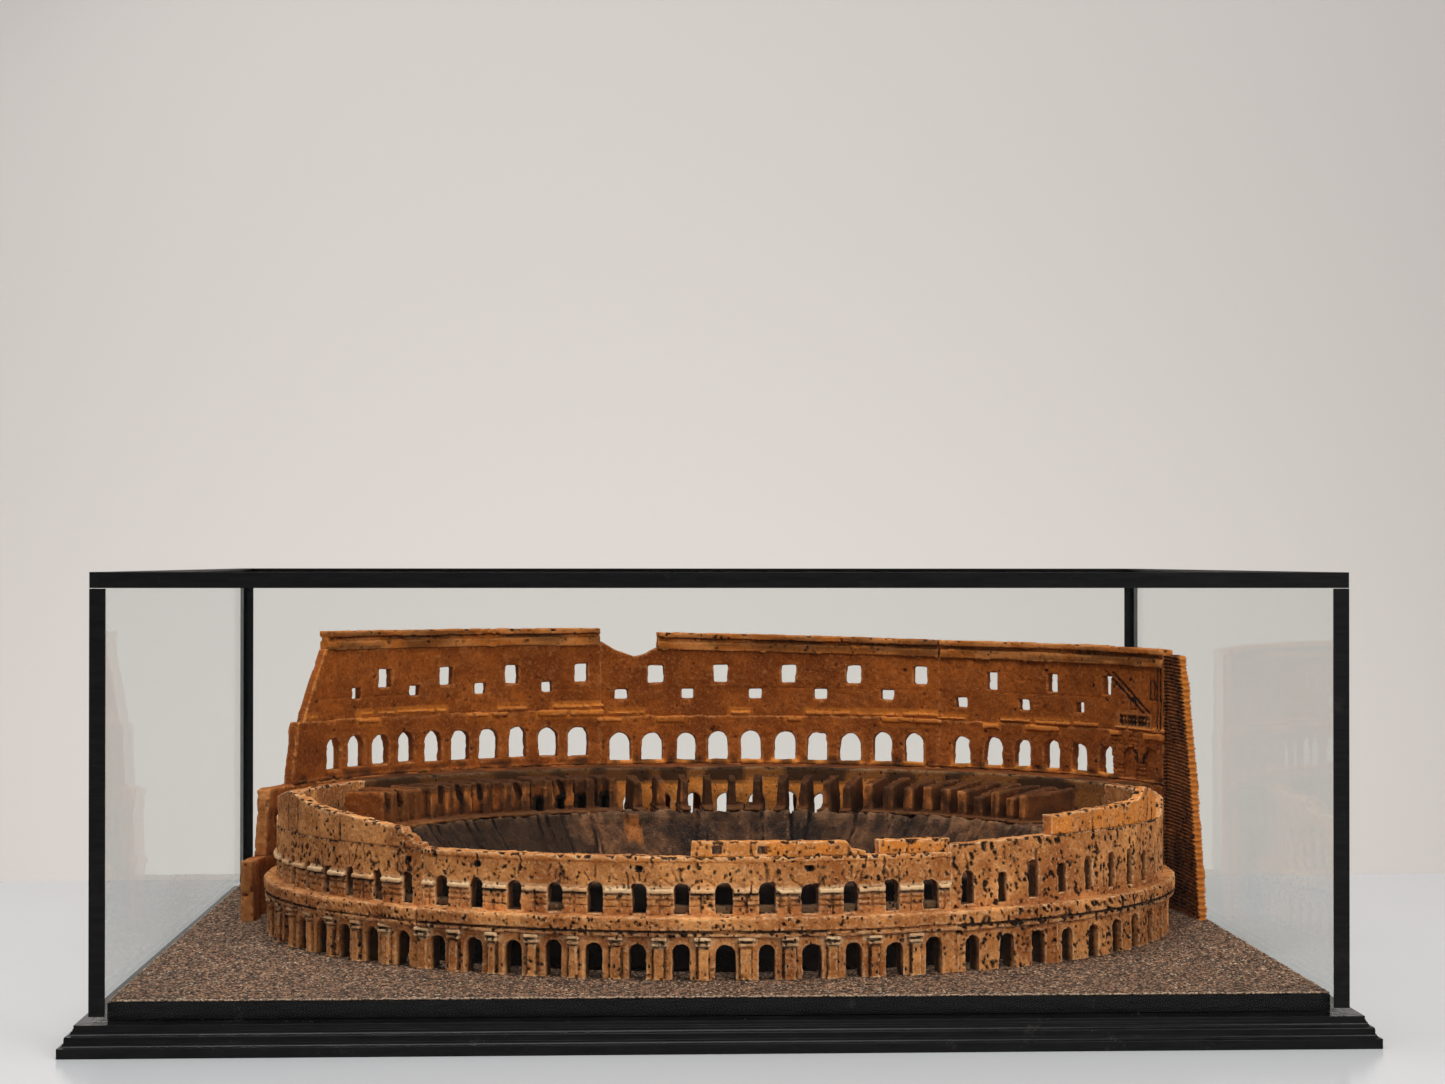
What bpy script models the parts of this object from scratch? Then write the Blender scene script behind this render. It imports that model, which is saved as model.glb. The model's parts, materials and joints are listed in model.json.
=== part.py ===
"""Cased cork model of a ruined oval amphitheatre, at its real size.

The origin is the bottom centre of the plinth. X runs along the long side, Y to the rear and Z up.
The plinth, its ground board and every cork piece are one body, and the glass case lifts straight off it.
Cork pieces are described on two ovals seen from above: an angle on the oval (0 at +X, 90 at +Y), an inset
from it towards the arena, and a height above the ground.
"""

import math

import bmesh
import bpy
import numpy as np

# Case and plinth
CASE_WIDTH, CASE_DEPTH, CASE_HEIGHT = 0.620, 0.520, 0.2192
GLASS = 0.003
STRIP_WIDTH, STRIP_THICKNESS = 0.0078, 0.0012
STRIP_FOOT = 0.003
STRIP_OUTLINE = (
    (0.0, 0.0),
    (STRIP_WIDTH, 0.0),
    (STRIP_WIDTH, STRIP_THICKNESS),
    (STRIP_THICKNESS, STRIP_THICKNESS),
    (STRIP_THICKNESS, STRIP_WIDTH),
    (0.0, STRIP_WIDTH),
)
STRIP_CAPS = ((0, 1, 2, 3), (0, 3, 4, 5))
PLINTH_HEIGHT = 0.015
MOULDING_WIDTH = 0.030
BOARD_INSET = 0.0077
BOARD_TOP = 0.0086
GROUND = 0.00975
GAP = 0.0003

# Outline of the plinth moulding from its foot up: distance outside the case, height
MOULDING_OUTLINE = (
    (0.0129, 0.0),
    (0.0129, 0.0050),
    (0.0102, 0.0068),
    (0.0102, 0.0078),
    (0.0096, 0.0100),
    (0.0081, 0.0118),
    (0.0067, 0.0126),
    (0.0060, 0.0132),
    (0.0060, PLINTH_HEIGHT),
)

# Screws that hold the ground board, driven from below
SCREW_X, SCREW_Y = 0.215, 0.150
SCREW_SHANK, SCREW_HEAD, SCREW_LENGTH = 0.00175, 0.0040, 0.0195
SCREW_SINK, SCREW_RIM = 0.0008, 0.0004
SCREW_CLEARANCE = 0.0004
HOLE_START = -0.001

# Inner ring: belt face oval, then insets and heights of its storeys
RING_CENTRE, RING_HALF = (0.009, 0.002), (0.2675, 0.211)
RING_PITCH = 0.022
LOWER_INSET, LOWER_THICKNESS, LOWER_TOP = 0.0035, 0.010, 0.0225
UPPER_INSET, UPPER_THICKNESS = 0.007, 0.008
BELT_TOP, BELT_BEVEL = 0.033, 0.0022
LOWER_ARCH = (0.0, 0.0140, 0.0100)
UPPER_ARCH = (0.0, 0.0453, 0.0085)
NORTH_ARCH = (0.040, 0.0550, 0.0110)
RING_SECTIONS = {
    "south": (-129.0, -64.6),
    "east": (-64.6, 18.0),
    "north": (18.0, 150.0),
    "west": (150.0, 231.0),
}
UPPER_TOPS = {
    "south": ((-129.0, 0.063), (-64.6, 0.063)),
    "east": ((-64.6, 0.0668), (-52.0, 0.0685), (-14.5, 0.0685), (-9.0, 0.077), (18.0, 0.077)),
    "north": ((18.0, 0.077), (150.0, 0.077)),
    "west": ((150.0, 0.077), (179.5, 0.077), (184.5, 0.063), (231.0, 0.063)),
}

# Blocks left of the ring's attic: the foot of each, and its top by angle
ATTIC_BLOCKS = {
    "attic_block_long": (0.063, ((-95.2, 0.0712), (-76.6, 0.0708))),
    "attic_block_short": (0.063, ((-73.6, 0.0706), (-64.9, 0.0705))),
    "attic_block_east": (0.0685, ((-49.2, 0.0788), (-28.6, 0.0815), (-25.9, 0.0885), (-20.5, 0.0840))),
    "attic_block_west": (0.063, ((191.0, 0.0800), (200.0, 0.0860), (207.0, 0.0810), (230.5, 0.0725))),
}
ATTIC_INSET, ATTIC_THICKNESS = 0.0074, 0.006
ATTIC_WINDOW = (0.0645, 0.0036, 0.0055)

# Tall outer wall: face oval, panels and storeys
OUTER_CENTRE, OUTER_HALF = (0.0115, 0.004), (0.289, 0.246)
OUTER_THICKNESS = 0.0075
THIRD_INSET, THIRD_THICKNESS = 0.0002, 0.0068
ATTIC_WALL_INSET, ATTIC_WALL_THICKNESS = 0.0006, 0.006
PANELS = {"east": (13.6, 57.0), "middle": (57.2, 105.2), "west": (105.4, 153.0)}
BAYS = {"east": (14.4, 56.2, 8), "middle": (58.5, 104.9, 10), "west": (106.4, 152.2, 10)}
ATTIC_BAYS = {"east": (14.4, 56.2, 8), "middle": (57.8, 104.6, 10), "west": (105.6, 147.4, 8)}
FIRST_TOP, SECOND_TOP = 0.036, 0.076

# Angles at which each storey of the west panel breaks off: at its foot, and at its top
WEST_ENDS = {
    "first": (176.0, 176.0),
    "second": (169.5, 168.0),
    "third": (160.0, 158.4),
    "attic": (156.8, 151.4),
}
FIRST_ARCH, SECOND_ARCH = (0.0, 0.0190, 0.0120), (0.0410, 0.0550, 0.0120)
THIRD_TOP = {"east": 0.1075, "middle": 0.109, "west": 0.114}
THIRD_ARCH = {
    "east": (0.0780, 0.0905, 0.0130),
    "middle": (0.0775, 0.0905, 0.0145),
    "west": (0.0825, 0.0955, 0.0135),
}
BLIND_BAYS = {"east": 2, "middle": 0, "west": 0}
ATTIC_TOP = {
    "east": ((13.6, 0.1490), (57.0, 0.1505)),
    "middle": ((57.2, 0.1505), (95.7, 0.1550)),
    "west": ((105.4, 0.1580), (153.0, 0.1590)),
}
LARGE_WINDOW = {
    "east": (0.1290, 0.0118, 0.0085),
    "middle": (0.1315, 0.0118, 0.0105),
    "west": (0.1325, 0.0122, 0.0100),
}
SMALL_WINDOW = {
    "east": (0.1165, 0.0068, 0.0080),
    "middle": (0.1205, 0.0066, 0.0088),
    "west": (0.1262, 0.0068, 0.0080),
}
BROKEN_TOP = {"east": (), "middle": ((100.4, 0.1500), (105.2, 0.1530)), "west": ()}

# Cornice: its height, and its steps as height above its foot and depth out from the wall's inner face
CORNICE_HEIGHT = 0.0108
CORNICE_STEPS = (
    (0.0, 0.0018),
    (0.0048, 0.0018),
    (0.0052, 0.0006),
    (0.0074, 0.0006),
    (0.0078, 0.0026),
    (CORNICE_HEIGHT, 0.0026),
)
CORNICE_LIP, CORNICE_STATION, CORNICE_SEAM = 0.0004, 4.5, 0.04
CORNICE_END = {"east": 57.0, "middle": 97.3, "west": 151.0}

# Brick buttress at the east end: foot and top of its sloping edge
BUTTRESS_FOOT, BUTTRESS_HEAD, BUTTRESS_TOP = -0.6, 8.6, 0.157
BUTTRESS_THICKNESS, BUTTRESS_INSET = 0.0050, 0.0004

# Seating bowl, radial walls, gallery and arena
BOWL_INSET = 0.030
BOWL_RIM, BOWL_FOOT = (0.190, 0.136), (0.142, 0.088)
BOWL_HEIGHT, BOWL_EDGE = {"south": 0.046, "north": 0.053}, 0.006
BOWL_STATIONS, BOWL_SEAM = 30, 0.05
FIN_THICKNESS, FIN_PLATE = 0.0072, 0.0016
FIN_RANGES = {"east": (20.0, 84.2, 15), "west": (84.4, 162.0, 18)}
FIN_HEAD, FIN_TOE, FIN_SLOPE_START = 0.0735, {"east": 0.060, "west": 0.066}, 0.35
FIN_OVERHANG, FIN_SETBACK, FIN_EDGE = 0.0012, 0.0030, 0.0002
VAULT_LOW, VAULT_TOP = 0.0725, 0.0755
VAULT_START, VAULT_END, VAULT_STATIONS = 17.0, 150.5, 32
ARENA_TOP, ARENA_INSET = 0.004, 0.002

HALF_W, HALF_D = CASE_WIDTH / 2, CASE_DEPTH / 2
BED_TOP = PLINTH_HEIGHT + GROUND


# ---- Scene, materials and plain shapes


def clear_scene():
    for old in list(bpy.data.objects):
        bpy.data.objects.remove(old, do_unlink=True)


def material(name, colour, roughness, transmission=0.0, metallic=0.0):
    made = bpy.data.materials.new(name)
    made.use_nodes = True
    shader = made.node_tree.nodes["Principled BSDF"]
    shader.inputs["Base Color"].default_value = (*colour, 1.0)
    shader.inputs["Roughness"].default_value = roughness
    shader.inputs["Metallic"].default_value = metallic
    shader.inputs["Transmission Weight"].default_value = transmission
    made.diffuse_color = (*colour, 1.0)
    return made


def frame_empty(name, height):
    empty = bpy.data.objects.new(name, None)
    empty.empty_display_size = 0.02
    empty.location = (0.0, 0.0, height)
    bpy.context.scene.collection.objects.link(empty)
    return empty


def new_object(name, bm, look, parent):
    """An object of its own for each sub-part, in its parent's frame."""
    bmesh.ops.recalc_face_normals(bm, faces=bm.faces)
    if bm.calc_volume(signed=True) < 0:
        bmesh.ops.reverse_faces(bm, faces=bm.faces)
    mesh = bpy.data.meshes.new(name)
    bm.to_mesh(mesh)
    bm.free()
    mesh.materials.append(look)
    made = bpy.data.objects.new(name, mesh)
    made.parent = parent
    bpy.context.scene.collection.objects.link(made)
    return made


def box(name, low, high, look, parent):
    bm = bmesh.new()
    bmesh.ops.create_cube(bm, size=1.0)
    for vert in bm.verts:
        vert.co = [a + (c + 0.5) * (b - a) for a, b, c in zip(low, high, vert.co)]
    return new_object(name, bm, look, parent)


def loft(name, sections, look, parent, caps=None):
    """A solid through closed sections of equally many points, capped at both ends.

    A section that isn't convex gives its caps, as convex faces that share its points.
    """
    bm = bmesh.new()
    rows = [[bm.verts.new(point) for point in section] for section in sections]
    count = len(rows[0])
    for near, far in zip(rows, rows[1:]):
        for i in range(count):
            j = (i + 1) % count
            bm.faces.new((near[i], near[j], far[j], far[i]))
    shapes = caps or [range(count)]
    ends = [bm.faces.new([row[i] for i in shape]) for row in (rows[0], rows[-1]) for shape in shapes]
    bmesh.ops.triangulate(bm, faces=ends)
    return new_object(name, bm, look, parent)


def turned(name, outline, place, look, parent, sides=16):
    """A solid of revolution about Z through place, from (radius, height) points both ends on the axis."""
    bm = bmesh.new()
    verts = [bm.verts.new((radius, 0.0, height)) for radius, height in outline]
    edges = [bm.edges.new(pair) for pair in zip(verts, verts[1:])]
    bmesh.ops.spin(
        bm, geom=verts + edges, cent=(0, 0, 0), axis=(0, 0, 1), angle=2 * math.pi, steps=sides, use_merge=True
    )
    bmesh.ops.remove_doubles(bm, verts=bm.verts, dist=1e-6)
    made = new_object(name, bm, look, parent)
    made.location = place
    made.data.shade_smooth()
    made.data.set_sharp_from_angle(angle=math.radians(35))
    return made


def cut(target, cutter):
    cutter.hide_render = True
    cutter.display_type = "WIRE"
    boolean = target.modifiers.new("cut_" + cutter.name, "BOOLEAN")
    boolean.operation = "DIFFERENCE"
    boolean.object = cutter


# ---- Ovals and curved walls


class Oval:
    """An ellipse seen from above, with its arc length, so that bays come out evenly spaced."""

    def __init__(self, centre, half):
        self.centre, self.half = np.array(centre), np.array(half)
        self.angles = np.radians(np.linspace(-180.0, 360.0, 5401))
        steps = np.hypot(*np.diff(self.outline(self.angles), axis=0).T)
        self.lengths = np.concatenate([[0.0], np.cumsum(steps)])

    def outline(self, angles):
        return self.centre + self.half * np.column_stack([np.cos(angles), np.sin(angles)])

    def length_at(self, degrees):
        return float(np.interp(math.radians(degrees), self.angles, self.lengths))

    def angle_at(self, length):
        return float(np.interp(length, self.lengths, self.angles))

    def place(self, angle, inset, height):
        """The point at this angle in radians, inset towards the arena."""
        direction = np.array([math.cos(angle), math.sin(angle)])
        normal = direction / self.half
        point = self.centre + self.half * direction - inset * normal / np.linalg.norm(normal)
        return (float(point[0]), float(point[1]), height)

    def on_line(self, length, inset, height):
        return self.place(self.angle_at(length), inset, height)


RING, OUTER = Oval(RING_CENTRE, RING_HALF), Oval(OUTER_CENTRE, OUTER_HALF)


def arch_side(middle, sill, spring, width, side):
    """One half of a round-headed opening, from its sill up to its crown."""
    radius = width / 2
    return [
        (middle + side * radius, sill),
        (middle + side * radius, spring),
        (middle + side * radius * math.sqrt(0.5), spring + radius * math.sqrt(0.5)),
        (middle, spring + radius),
    ]


def window_side(middle, sill, height, width, side):
    """One half of a square opening, from its sill up to its head."""
    edge = middle + side * width / 2
    return [(edge, sill), (edge, sill + height), (middle, sill + height)]


def bay(start, end, low, tops, opening=None, side_of=arch_side):
    """The wall of one bay round its opening, as flat outlines of (length along the oval, height)."""
    middle, crown = (start + end) / 2, sum(tops) / 2
    outlines = []
    for side, edge, top in ((-1, start, tops[0]), (1, end, tops[1])):
        if opening is None:
            outlines.append([(edge, low), (middle, low), (middle, crown), (edge, top)])
            continue
        jamb = side_of(middle, *opening, side)
        if opening[0] > low:
            outlines.append([(edge, low), (middle, low), (middle, opening[0]), jamb[0]])
        else:
            jamb[0] = (jamb[0][0], low)
        outlines.append([(edge, low), jamb[0], jamb[1], (edge, top)])
        outlines.append([(edge, top)] + jamb[1:] + [(middle, crown)])
    return outlines


def curved_wall(name, oval, outlines, inset, thickness, look, parent):
    """Flat outlines made one sheet, given thickness and then bent round the oval."""
    bm = bmesh.new()
    corners = {}
    for outline in outlines:
        ring = []
        for length, height in outline:
            key = (round(length, 7), round(height, 7))
            if key not in corners:
                corners[key] = bm.verts.new((length, 0.0, height))
            if corners[key] not in ring:
                ring.append(corners[key])
        bm.faces.new(ring)
    bmesh.ops.triangulate(bm, faces=bm.faces)
    back = bmesh.ops.extrude_face_region(bm, geom=bm.faces[:])["geom"]
    for vert in (item for item in back if isinstance(item, bmesh.types.BMVert)):
        vert.co.y = thickness
    for vert in bm.verts:
        vert.co = oval.on_line(vert.co.x, inset + vert.co.y, vert.co.z)
    return new_object(name, bm, look, parent)


def bays_between(oval, start, end, count):
    """Equal lengths of the oval between two angles in degrees."""
    lengths = np.linspace(oval.length_at(start), oval.length_at(end), count + 1)
    return list(zip(lengths[:-1].tolist(), lengths[1:].tolist()))


def slope(oval, points):
    """The height at any length along the oval, on straight lines through (angle, height) points."""
    lengths = [oval.length_at(angle) for angle, _ in points]
    heights = [height for _, height in points]
    return lambda length: float(np.interp(length, lengths, heights))


def band(name, oval, start, end, stations, profile, look, parent):
    """A profile of (inset, height) points carried round the oval; it may be a function of the angle."""
    sections = []
    for angle in np.radians(np.linspace(start, end, stations)):
        points = profile(float(angle)) if callable(profile) else profile
        sections.append([oval.place(float(angle), inset, height) for inset, height in points])
    return loft(name, sections, look, parent)


# ---- Plinth


def plinth_moulding(name, side, look, parent):
    """One mitred length of moulding: side gives the direction that it faces."""
    along_x = side[1] != 0
    half_length, half_span = (HALF_W, HALF_D) if along_x else (HALF_D, HALF_W)
    inner = [(-MOULDING_WIDTH, PLINTH_HEIGHT), (-MOULDING_WIDTH, 0.0)]
    sections = []
    for end in (-1, 1):
        section = []
        for out, height in MOULDING_OUTLINE + tuple(inner):
            along = end * (half_length + out - GAP)
            across = (half_span + out) * (side[1] if along_x else side[0])
            section.append((along, across, height) if along_x else (across, along, height))
        sections.append(section)
    return loft(name, sections, look, parent)


def board_screws(panel, board, steel, parent):
    """Countersunk screws up through the panel into the ground board, in holes with clearance."""
    head_height = SCREW_HEAD - SCREW_SHANK
    tip = SCREW_SINK + SCREW_LENGTH
    number = 0
    for x in (-SCREW_X, SCREW_X):
        for y in (-SCREW_Y, SCREW_Y):
            number += 1
            outline = (
                (0.0, tip),
                (SCREW_SHANK, tip - SCREW_SHANK),
                (SCREW_SHANK, SCREW_SINK + head_height),
                (SCREW_HEAD, SCREW_SINK + SCREW_RIM),
                (SCREW_HEAD, SCREW_SINK),
                (0.0, SCREW_SINK),
            )
            turned(f"board_screw_{number}", outline, (x, y, 0.0), steel, parent)
            wide = SCREW_CLEARANCE
            hole = (
                (0.0, tip + wide),
                (SCREW_SHANK + wide, tip + wide),
                (SCREW_SHANK + wide, SCREW_SINK + head_height + wide),
                (SCREW_HEAD + wide, SCREW_SINK + SCREW_RIM + wide),
                (SCREW_HEAD + wide, HOLE_START),
                (0.0, HOLE_START),
            )
            cutter = turned(f"screw_hole_{number}", hole, (x, y, 0.0), steel, parent)
            cut(panel, cutter)
            cut(board, cutter)


def make_plinth(looks, parent):
    for name, side in (("front", (0, -1)), ("back", (0, 1)), ("left", (-1, 0)), ("right", (1, 0))):
        plinth_moulding(f"plinth_moulding_{name}", side, looks["ebonised"], parent)
    x, y = HALF_W - MOULDING_WIDTH - GAP, HALF_D - MOULDING_WIDTH - GAP
    panel = box("plinth_panel", (-x, -y, 0.0), (x, y, PLINTH_HEIGHT), looks["timber"], parent)
    x, y = HALF_W - BOARD_INSET, HALF_D - BOARD_INSET
    low = PLINTH_HEIGHT + GAP
    board = box("ground_board", (-x, -y, low), (x, y, PLINTH_HEIGHT + BOARD_TOP), looks["ebonised"], parent)
    low = PLINTH_HEIGHT + BOARD_TOP + GAP
    box("ground_bed", (-x, -y, low), (x, y, BED_TOP - GAP), looks["granules"], parent)
    board_screws(panel, board, looks["steel"], parent)


# ---- Glass case


def corner_strip(name, sx, sy, look, parent):
    """A strip down one corner of the case, outside the glass."""
    top = CASE_HEIGHT - STRIP_WIDTH - GAP
    sections = []
    for z in (STRIP_FOOT, top):
        sections.append([(sx * (HALF_W - u), sy * (HALF_D - v), z) for u, v in STRIP_OUTLINE])
    return loft(name, sections, look, parent, STRIP_CAPS)


def top_strip(name, side, look, parent):
    """A strip along one top edge, mitred to its neighbours."""
    along_x = side[1] != 0
    half_length, half_span = (HALF_W, HALF_D) if along_x else (HALF_D, HALF_W)
    sections = []
    for end in (-1, 1):
        section = []
        for inward, down in STRIP_OUTLINE:
            along = end * (half_length - inward - GAP)
            across = (half_span - inward) * (side[1] if along_x else side[0])
            height = CASE_HEIGHT - down
            section.append((along, across, height) if along_x else (across, along, height))
        sections.append(section)
    return loft(name, sections, look, parent, STRIP_CAPS)


def make_case(looks, parent):
    """Five panes bonded edge to edge, with black strips over the edges."""
    glass, strip = looks["glass"], looks["strip"]
    face = STRIP_THICKNESS + GAP
    x, y = HALF_W - face, HALF_D - face
    high = CASE_HEIGHT - face
    under = high - GLASS - GAP
    box("glass_top", (-x, -y, high - GLASS), (x, y, high), glass, parent)
    box("glass_front", (-x, -y, GAP), (x, -y + GLASS, under), glass, parent)
    box("glass_back", (-x, y - GLASS, GAP), (x, y, under), glass, parent)
    inner = y - GLASS - GAP
    box("glass_left", (-x, -inner, GAP), (-x + GLASS, inner, under), glass, parent)
    box("glass_right", (x - GLASS, -inner, GAP), (x, inner, under), glass, parent)
    for end, sy in (("front", -1), ("back", 1)):
        for hand, sx in (("left", -1), ("right", 1)):
            corner_strip(f"corner_strip_{end}_{hand}", sx, sy, strip, parent)
    for name, side in (("front", (0, -1)), ("back", (0, 1)), ("left", (-1, 0)), ("right", (1, 0))):
        top_strip(f"top_strip_{name}", side, strip, parent)


# ---- Inner ring


def ring_count(start, end):
    return round((RING.length_at(end) - RING.length_at(start)) / RING_PITCH)


def seam(start, end, inset):
    """The angles pulled in by half a gap at each end."""
    turn = math.degrees(GAP / 2 / (min(RING_HALF) - inset))
    return start + turn, end - turn


def lower_arcade(section, start, end, look, parent):
    """Ground storey: piers with round arches between them, open at the foot."""
    outlines = []
    for a, b in bays_between(RING, *seam(start, end, LOWER_INSET), ring_count(start, end)):
        opening = None if section == "north" else LOWER_ARCH
        outlines += bay(a, b, GAP, (LOWER_TOP, LOWER_TOP), opening)
    name = f"lower_arcade_{section}"
    return curved_wall(name, RING, outlines, LOWER_INSET, LOWER_THICKNESS, look, parent)


def belt_course(section, start, end, look, parent):
    """The rounded belt between the storeys."""
    low, high, deep = LOWER_TOP + GAP, BELT_TOP - GAP, LOWER_INSET + LOWER_THICKNESS
    profile = [(deep, high), (BELT_BEVEL, high), (0.0, high - BELT_BEVEL)]
    profile += [(0.0, low + BELT_BEVEL), (BELT_BEVEL, low), (deep, low)]
    count = ring_count(start, end) + 1
    name = f"belt_course_{section}"
    return band(name, RING, *seam(start, end, deep), count, profile, look, parent)


def upper_arcade(section, start, end, look, parent):
    """Second storey: piers that stand on the belt course, with round-headed openings."""
    outlines = []
    high = slope(RING, UPPER_TOPS[section])
    opening = NORTH_ARCH if section == "north" else UPPER_ARCH
    for a, b in bays_between(RING, *seam(start, end, UPPER_INSET), ring_count(start, end)):
        outlines += bay(a, b, BELT_TOP, (high(a), high(b)), opening)
    name = f"upper_arcade_{section}"
    return curved_wall(name, RING, outlines, UPPER_INSET, UPPER_THICKNESS, look, parent)


def attic_block(name, foot, tops, look, parent):
    """A length of the attic left standing on the second storey; the long one has two square windows."""
    start, end = tops[0][0], tops[-1][0]
    high = slope(RING, tops)
    outlines = []
    for number, (a, b) in enumerate(bays_between(RING, start, end, ring_count(start, end))):
        opening = ATTIC_WINDOW if name == "attic_block_long" and number < 2 else None
        outlines += bay(a, b, foot + GAP, (high(a), high(b)), opening, window_side)
    return curved_wall(name, RING, outlines, ATTIC_INSET, ATTIC_THICKNESS, look, parent)


def make_ring(looks, parent):
    for section, (start, end) in RING_SECTIONS.items():
        lower_arcade(section, start, end, looks["cork"], parent)
        belt_course(section, start, end, looks["cork"], parent)
        upper_arcade(section, start, end, looks["cork"], parent)
    for name, (foot, tops) in ATTIC_BLOCKS.items():
        attic_block(name, foot, tops, looks["cork"], parent)


# ---- Tall outer wall


def outer_bays(panel, bays=BAYS, end=None):
    """(start, end, whole) of each stretch of a panel: its bays, and the plain piers beyond them."""
    first, last, count = bays[panel]
    stretches = [(a, b, True) for a, b in bays_between(OUTER, first, last, count)]
    edge, finish = OUTER.length_at(PANELS[panel][0]), OUTER.length_at(end or PANELS[panel][1])
    pitch = stretches[0][1] - stretches[0][0]
    while end and finish - stretches[-1][1] > pitch:
        stretches.append((stretches[-1][1], stretches[-1][1] + pitch, True))
    return [(edge, stretches[0][0], False)] + stretches + [(stretches[-1][1], finish, False)]


def slanted(outlines, low_end, high_end):
    """The outlines with their last edge leaned over, as on a broken end."""
    far = max(length for outline in outlines for length, _ in outline)
    top = max(height for outline in outlines for length, height in outline if length == far)
    ends = {True: OUTER.length_at(high_end), False: OUTER.length_at(low_end)}
    return [
        [(ends[height == top] if length == far else length, height) for length, height in outline]
        for outline in outlines
    ]


def outer_lower(panel, look, parent):
    """The two lowest storeys of a panel in one piece."""
    outlines = []
    for a, b, whole in outer_bays(panel):
        outlines += bay(a, b, GAP, (FIRST_TOP, FIRST_TOP), FIRST_ARCH if whole else None)
        outlines += bay(a, b, FIRST_TOP, (SECOND_TOP, SECOND_TOP), SECOND_ARCH if whole else None)
    return curved_wall(f"outer_wall_lower_{panel}", OUTER, outlines, 0.0, OUTER_THICKNESS, look, parent)


def outer_west_steps(look, parent):
    """The west panel's two lowest storeys, which step down as they run on past the storeys above."""
    for storey, low, high, opening in (
        ("first", GAP, FIRST_TOP, FIRST_ARCH),
        ("second", FIRST_TOP + GAP, SECOND_TOP, SECOND_ARCH),
    ):
        outlines = []
        for a, b, whole in outer_bays("west", end=WEST_ENDS[storey][0]):
            outlines += bay(a, b, low, (high, high), opening if whole else None)
        outlines = slanted(outlines, *WEST_ENDS[storey])
        curved_wall(f"outer_wall_{storey}_west", OUTER, outlines, 0.0, OUTER_THICKNESS, look, parent)


def third_storey(panel, look, parent):
    """The open arcade of the third storey; the bays by the buttress are bricked up."""
    low, high = SECOND_TOP + GAP, THIRD_TOP[panel]
    outlines = []
    for number, (a, b, whole) in enumerate(outer_bays(panel)):
        opening = THIRD_ARCH[panel] if whole and number > BLIND_BAYS[panel] else None
        outlines += bay(a, b, low, (high, high), opening)
    if panel == "west":
        outlines = slanted(outlines, *WEST_ENDS["third"])
    return curved_wall(f"third_storey_{panel}", OUTER, outlines, THIRD_INSET, THIRD_THICKNESS, look, parent)


def attic_wall(panel, look, parent):
    """The attic: a large window in every other bay, and a small, lower one between."""
    low = THIRD_TOP[panel] + GAP
    high = slope(OUTER, ATTIC_TOP[panel] + BROKEN_TOP[panel])
    outlines = []
    for number, (a, b, whole) in enumerate(outer_bays(panel, ATTIC_BAYS)):
        opening = (LARGE_WINDOW if number % 2 else SMALL_WINDOW)[panel]
        if not whole or number <= BLIND_BAYS[panel]:
            opening = None
        outlines += bay(a, b, low, (high(a), high(b)), opening, window_side)
    if panel == "west":
        outlines = slanted(outlines, *WEST_ENDS["attic"])
    name = f"attic_wall_{panel}"
    return curved_wall(name, OUTER, outlines, ATTIC_WALL_INSET, ATTIC_WALL_THICKNESS, look, parent)


def cornice(panel, look, parent):
    """The crowning cornice, stepped on its inner face, and absent over the broken stretch."""
    start, last = PANELS[panel][0], CORNICE_END[panel]
    line = slope(OUTER, ATTIC_TOP[panel])
    back = ATTIC_WALL_INSET + ATTIC_WALL_THICKNESS

    def profile(angle):
        foot = line(OUTER.length_at(math.degrees(angle))) + GAP
        steps = [(back + out, foot + up) for up, out in CORNICE_STEPS]
        return [(-CORNICE_LIP, foot)] + steps + [(-CORNICE_LIP, foot + CORNICE_HEIGHT)]

    stations = 2 + round((last - start) / CORNICE_STATION)
    name = f"cornice_{panel}"
    return band(name, OUTER, start + CORNICE_SEAM, last - CORNICE_SEAM, stations, profile, look, parent)


def buttress(look, parent):
    """The brick buttress that closes the east end, its outer edge sloping outwards to the foot."""
    inner = OUTER.length_at(PANELS["east"][0]) - GAP
    foot, head = OUTER.length_at(BUTTRESS_FOOT), OUTER.length_at(BUTTRESS_HEAD)
    outlines = [
        [(foot, GAP), (head, GAP), (head, BUTTRESS_TOP)],
        [(head, GAP), (inner, GAP), (inner, BUTTRESS_TOP), (head, BUTTRESS_TOP)],
    ]
    name = "east_buttress"
    return curved_wall(name, OUTER, outlines, BUTTRESS_INSET, BUTTRESS_THICKNESS, look, parent)


def make_outer_wall(looks, parent):
    look = looks["cork_dark"]
    outer_lower("east", look, parent)
    outer_lower("middle", look, parent)
    outer_west_steps(look, parent)
    for panel in PANELS:
        third_storey(panel, look, parent)
        attic_wall(panel, look, parent)
        cornice(panel, look, parent)
    buttress(looks["brick_cork"], parent)


# ---- Seating bowl, radial walls, gallery and arena


def bowl(section, start, end, look, parent):
    """Half of the ruined seating bowl: a level tier behind a slope down to the arena."""
    rim, foot = Oval(RING_CENTRE, BOWL_RIM), Oval(RING_CENTRE, BOWL_FOOT)
    high = BOWL_HEIGHT[section]
    sections = []
    for angle in np.radians(np.linspace(start + BOWL_SEAM, end - BOWL_SEAM, BOWL_STATIONS)).tolist():
        sections.append(
            [
                RING.place(angle, BOWL_INSET, GAP),
                RING.place(angle, BOWL_INSET, high),
                rim.place(angle, 0.0, high),
                foot.place(angle, 0.0, BOWL_EDGE),
                foot.place(angle, 0.0, GAP),
            ]
        )
    return loft(f"seating_bowl_{section}", sections, look, parent)


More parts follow.
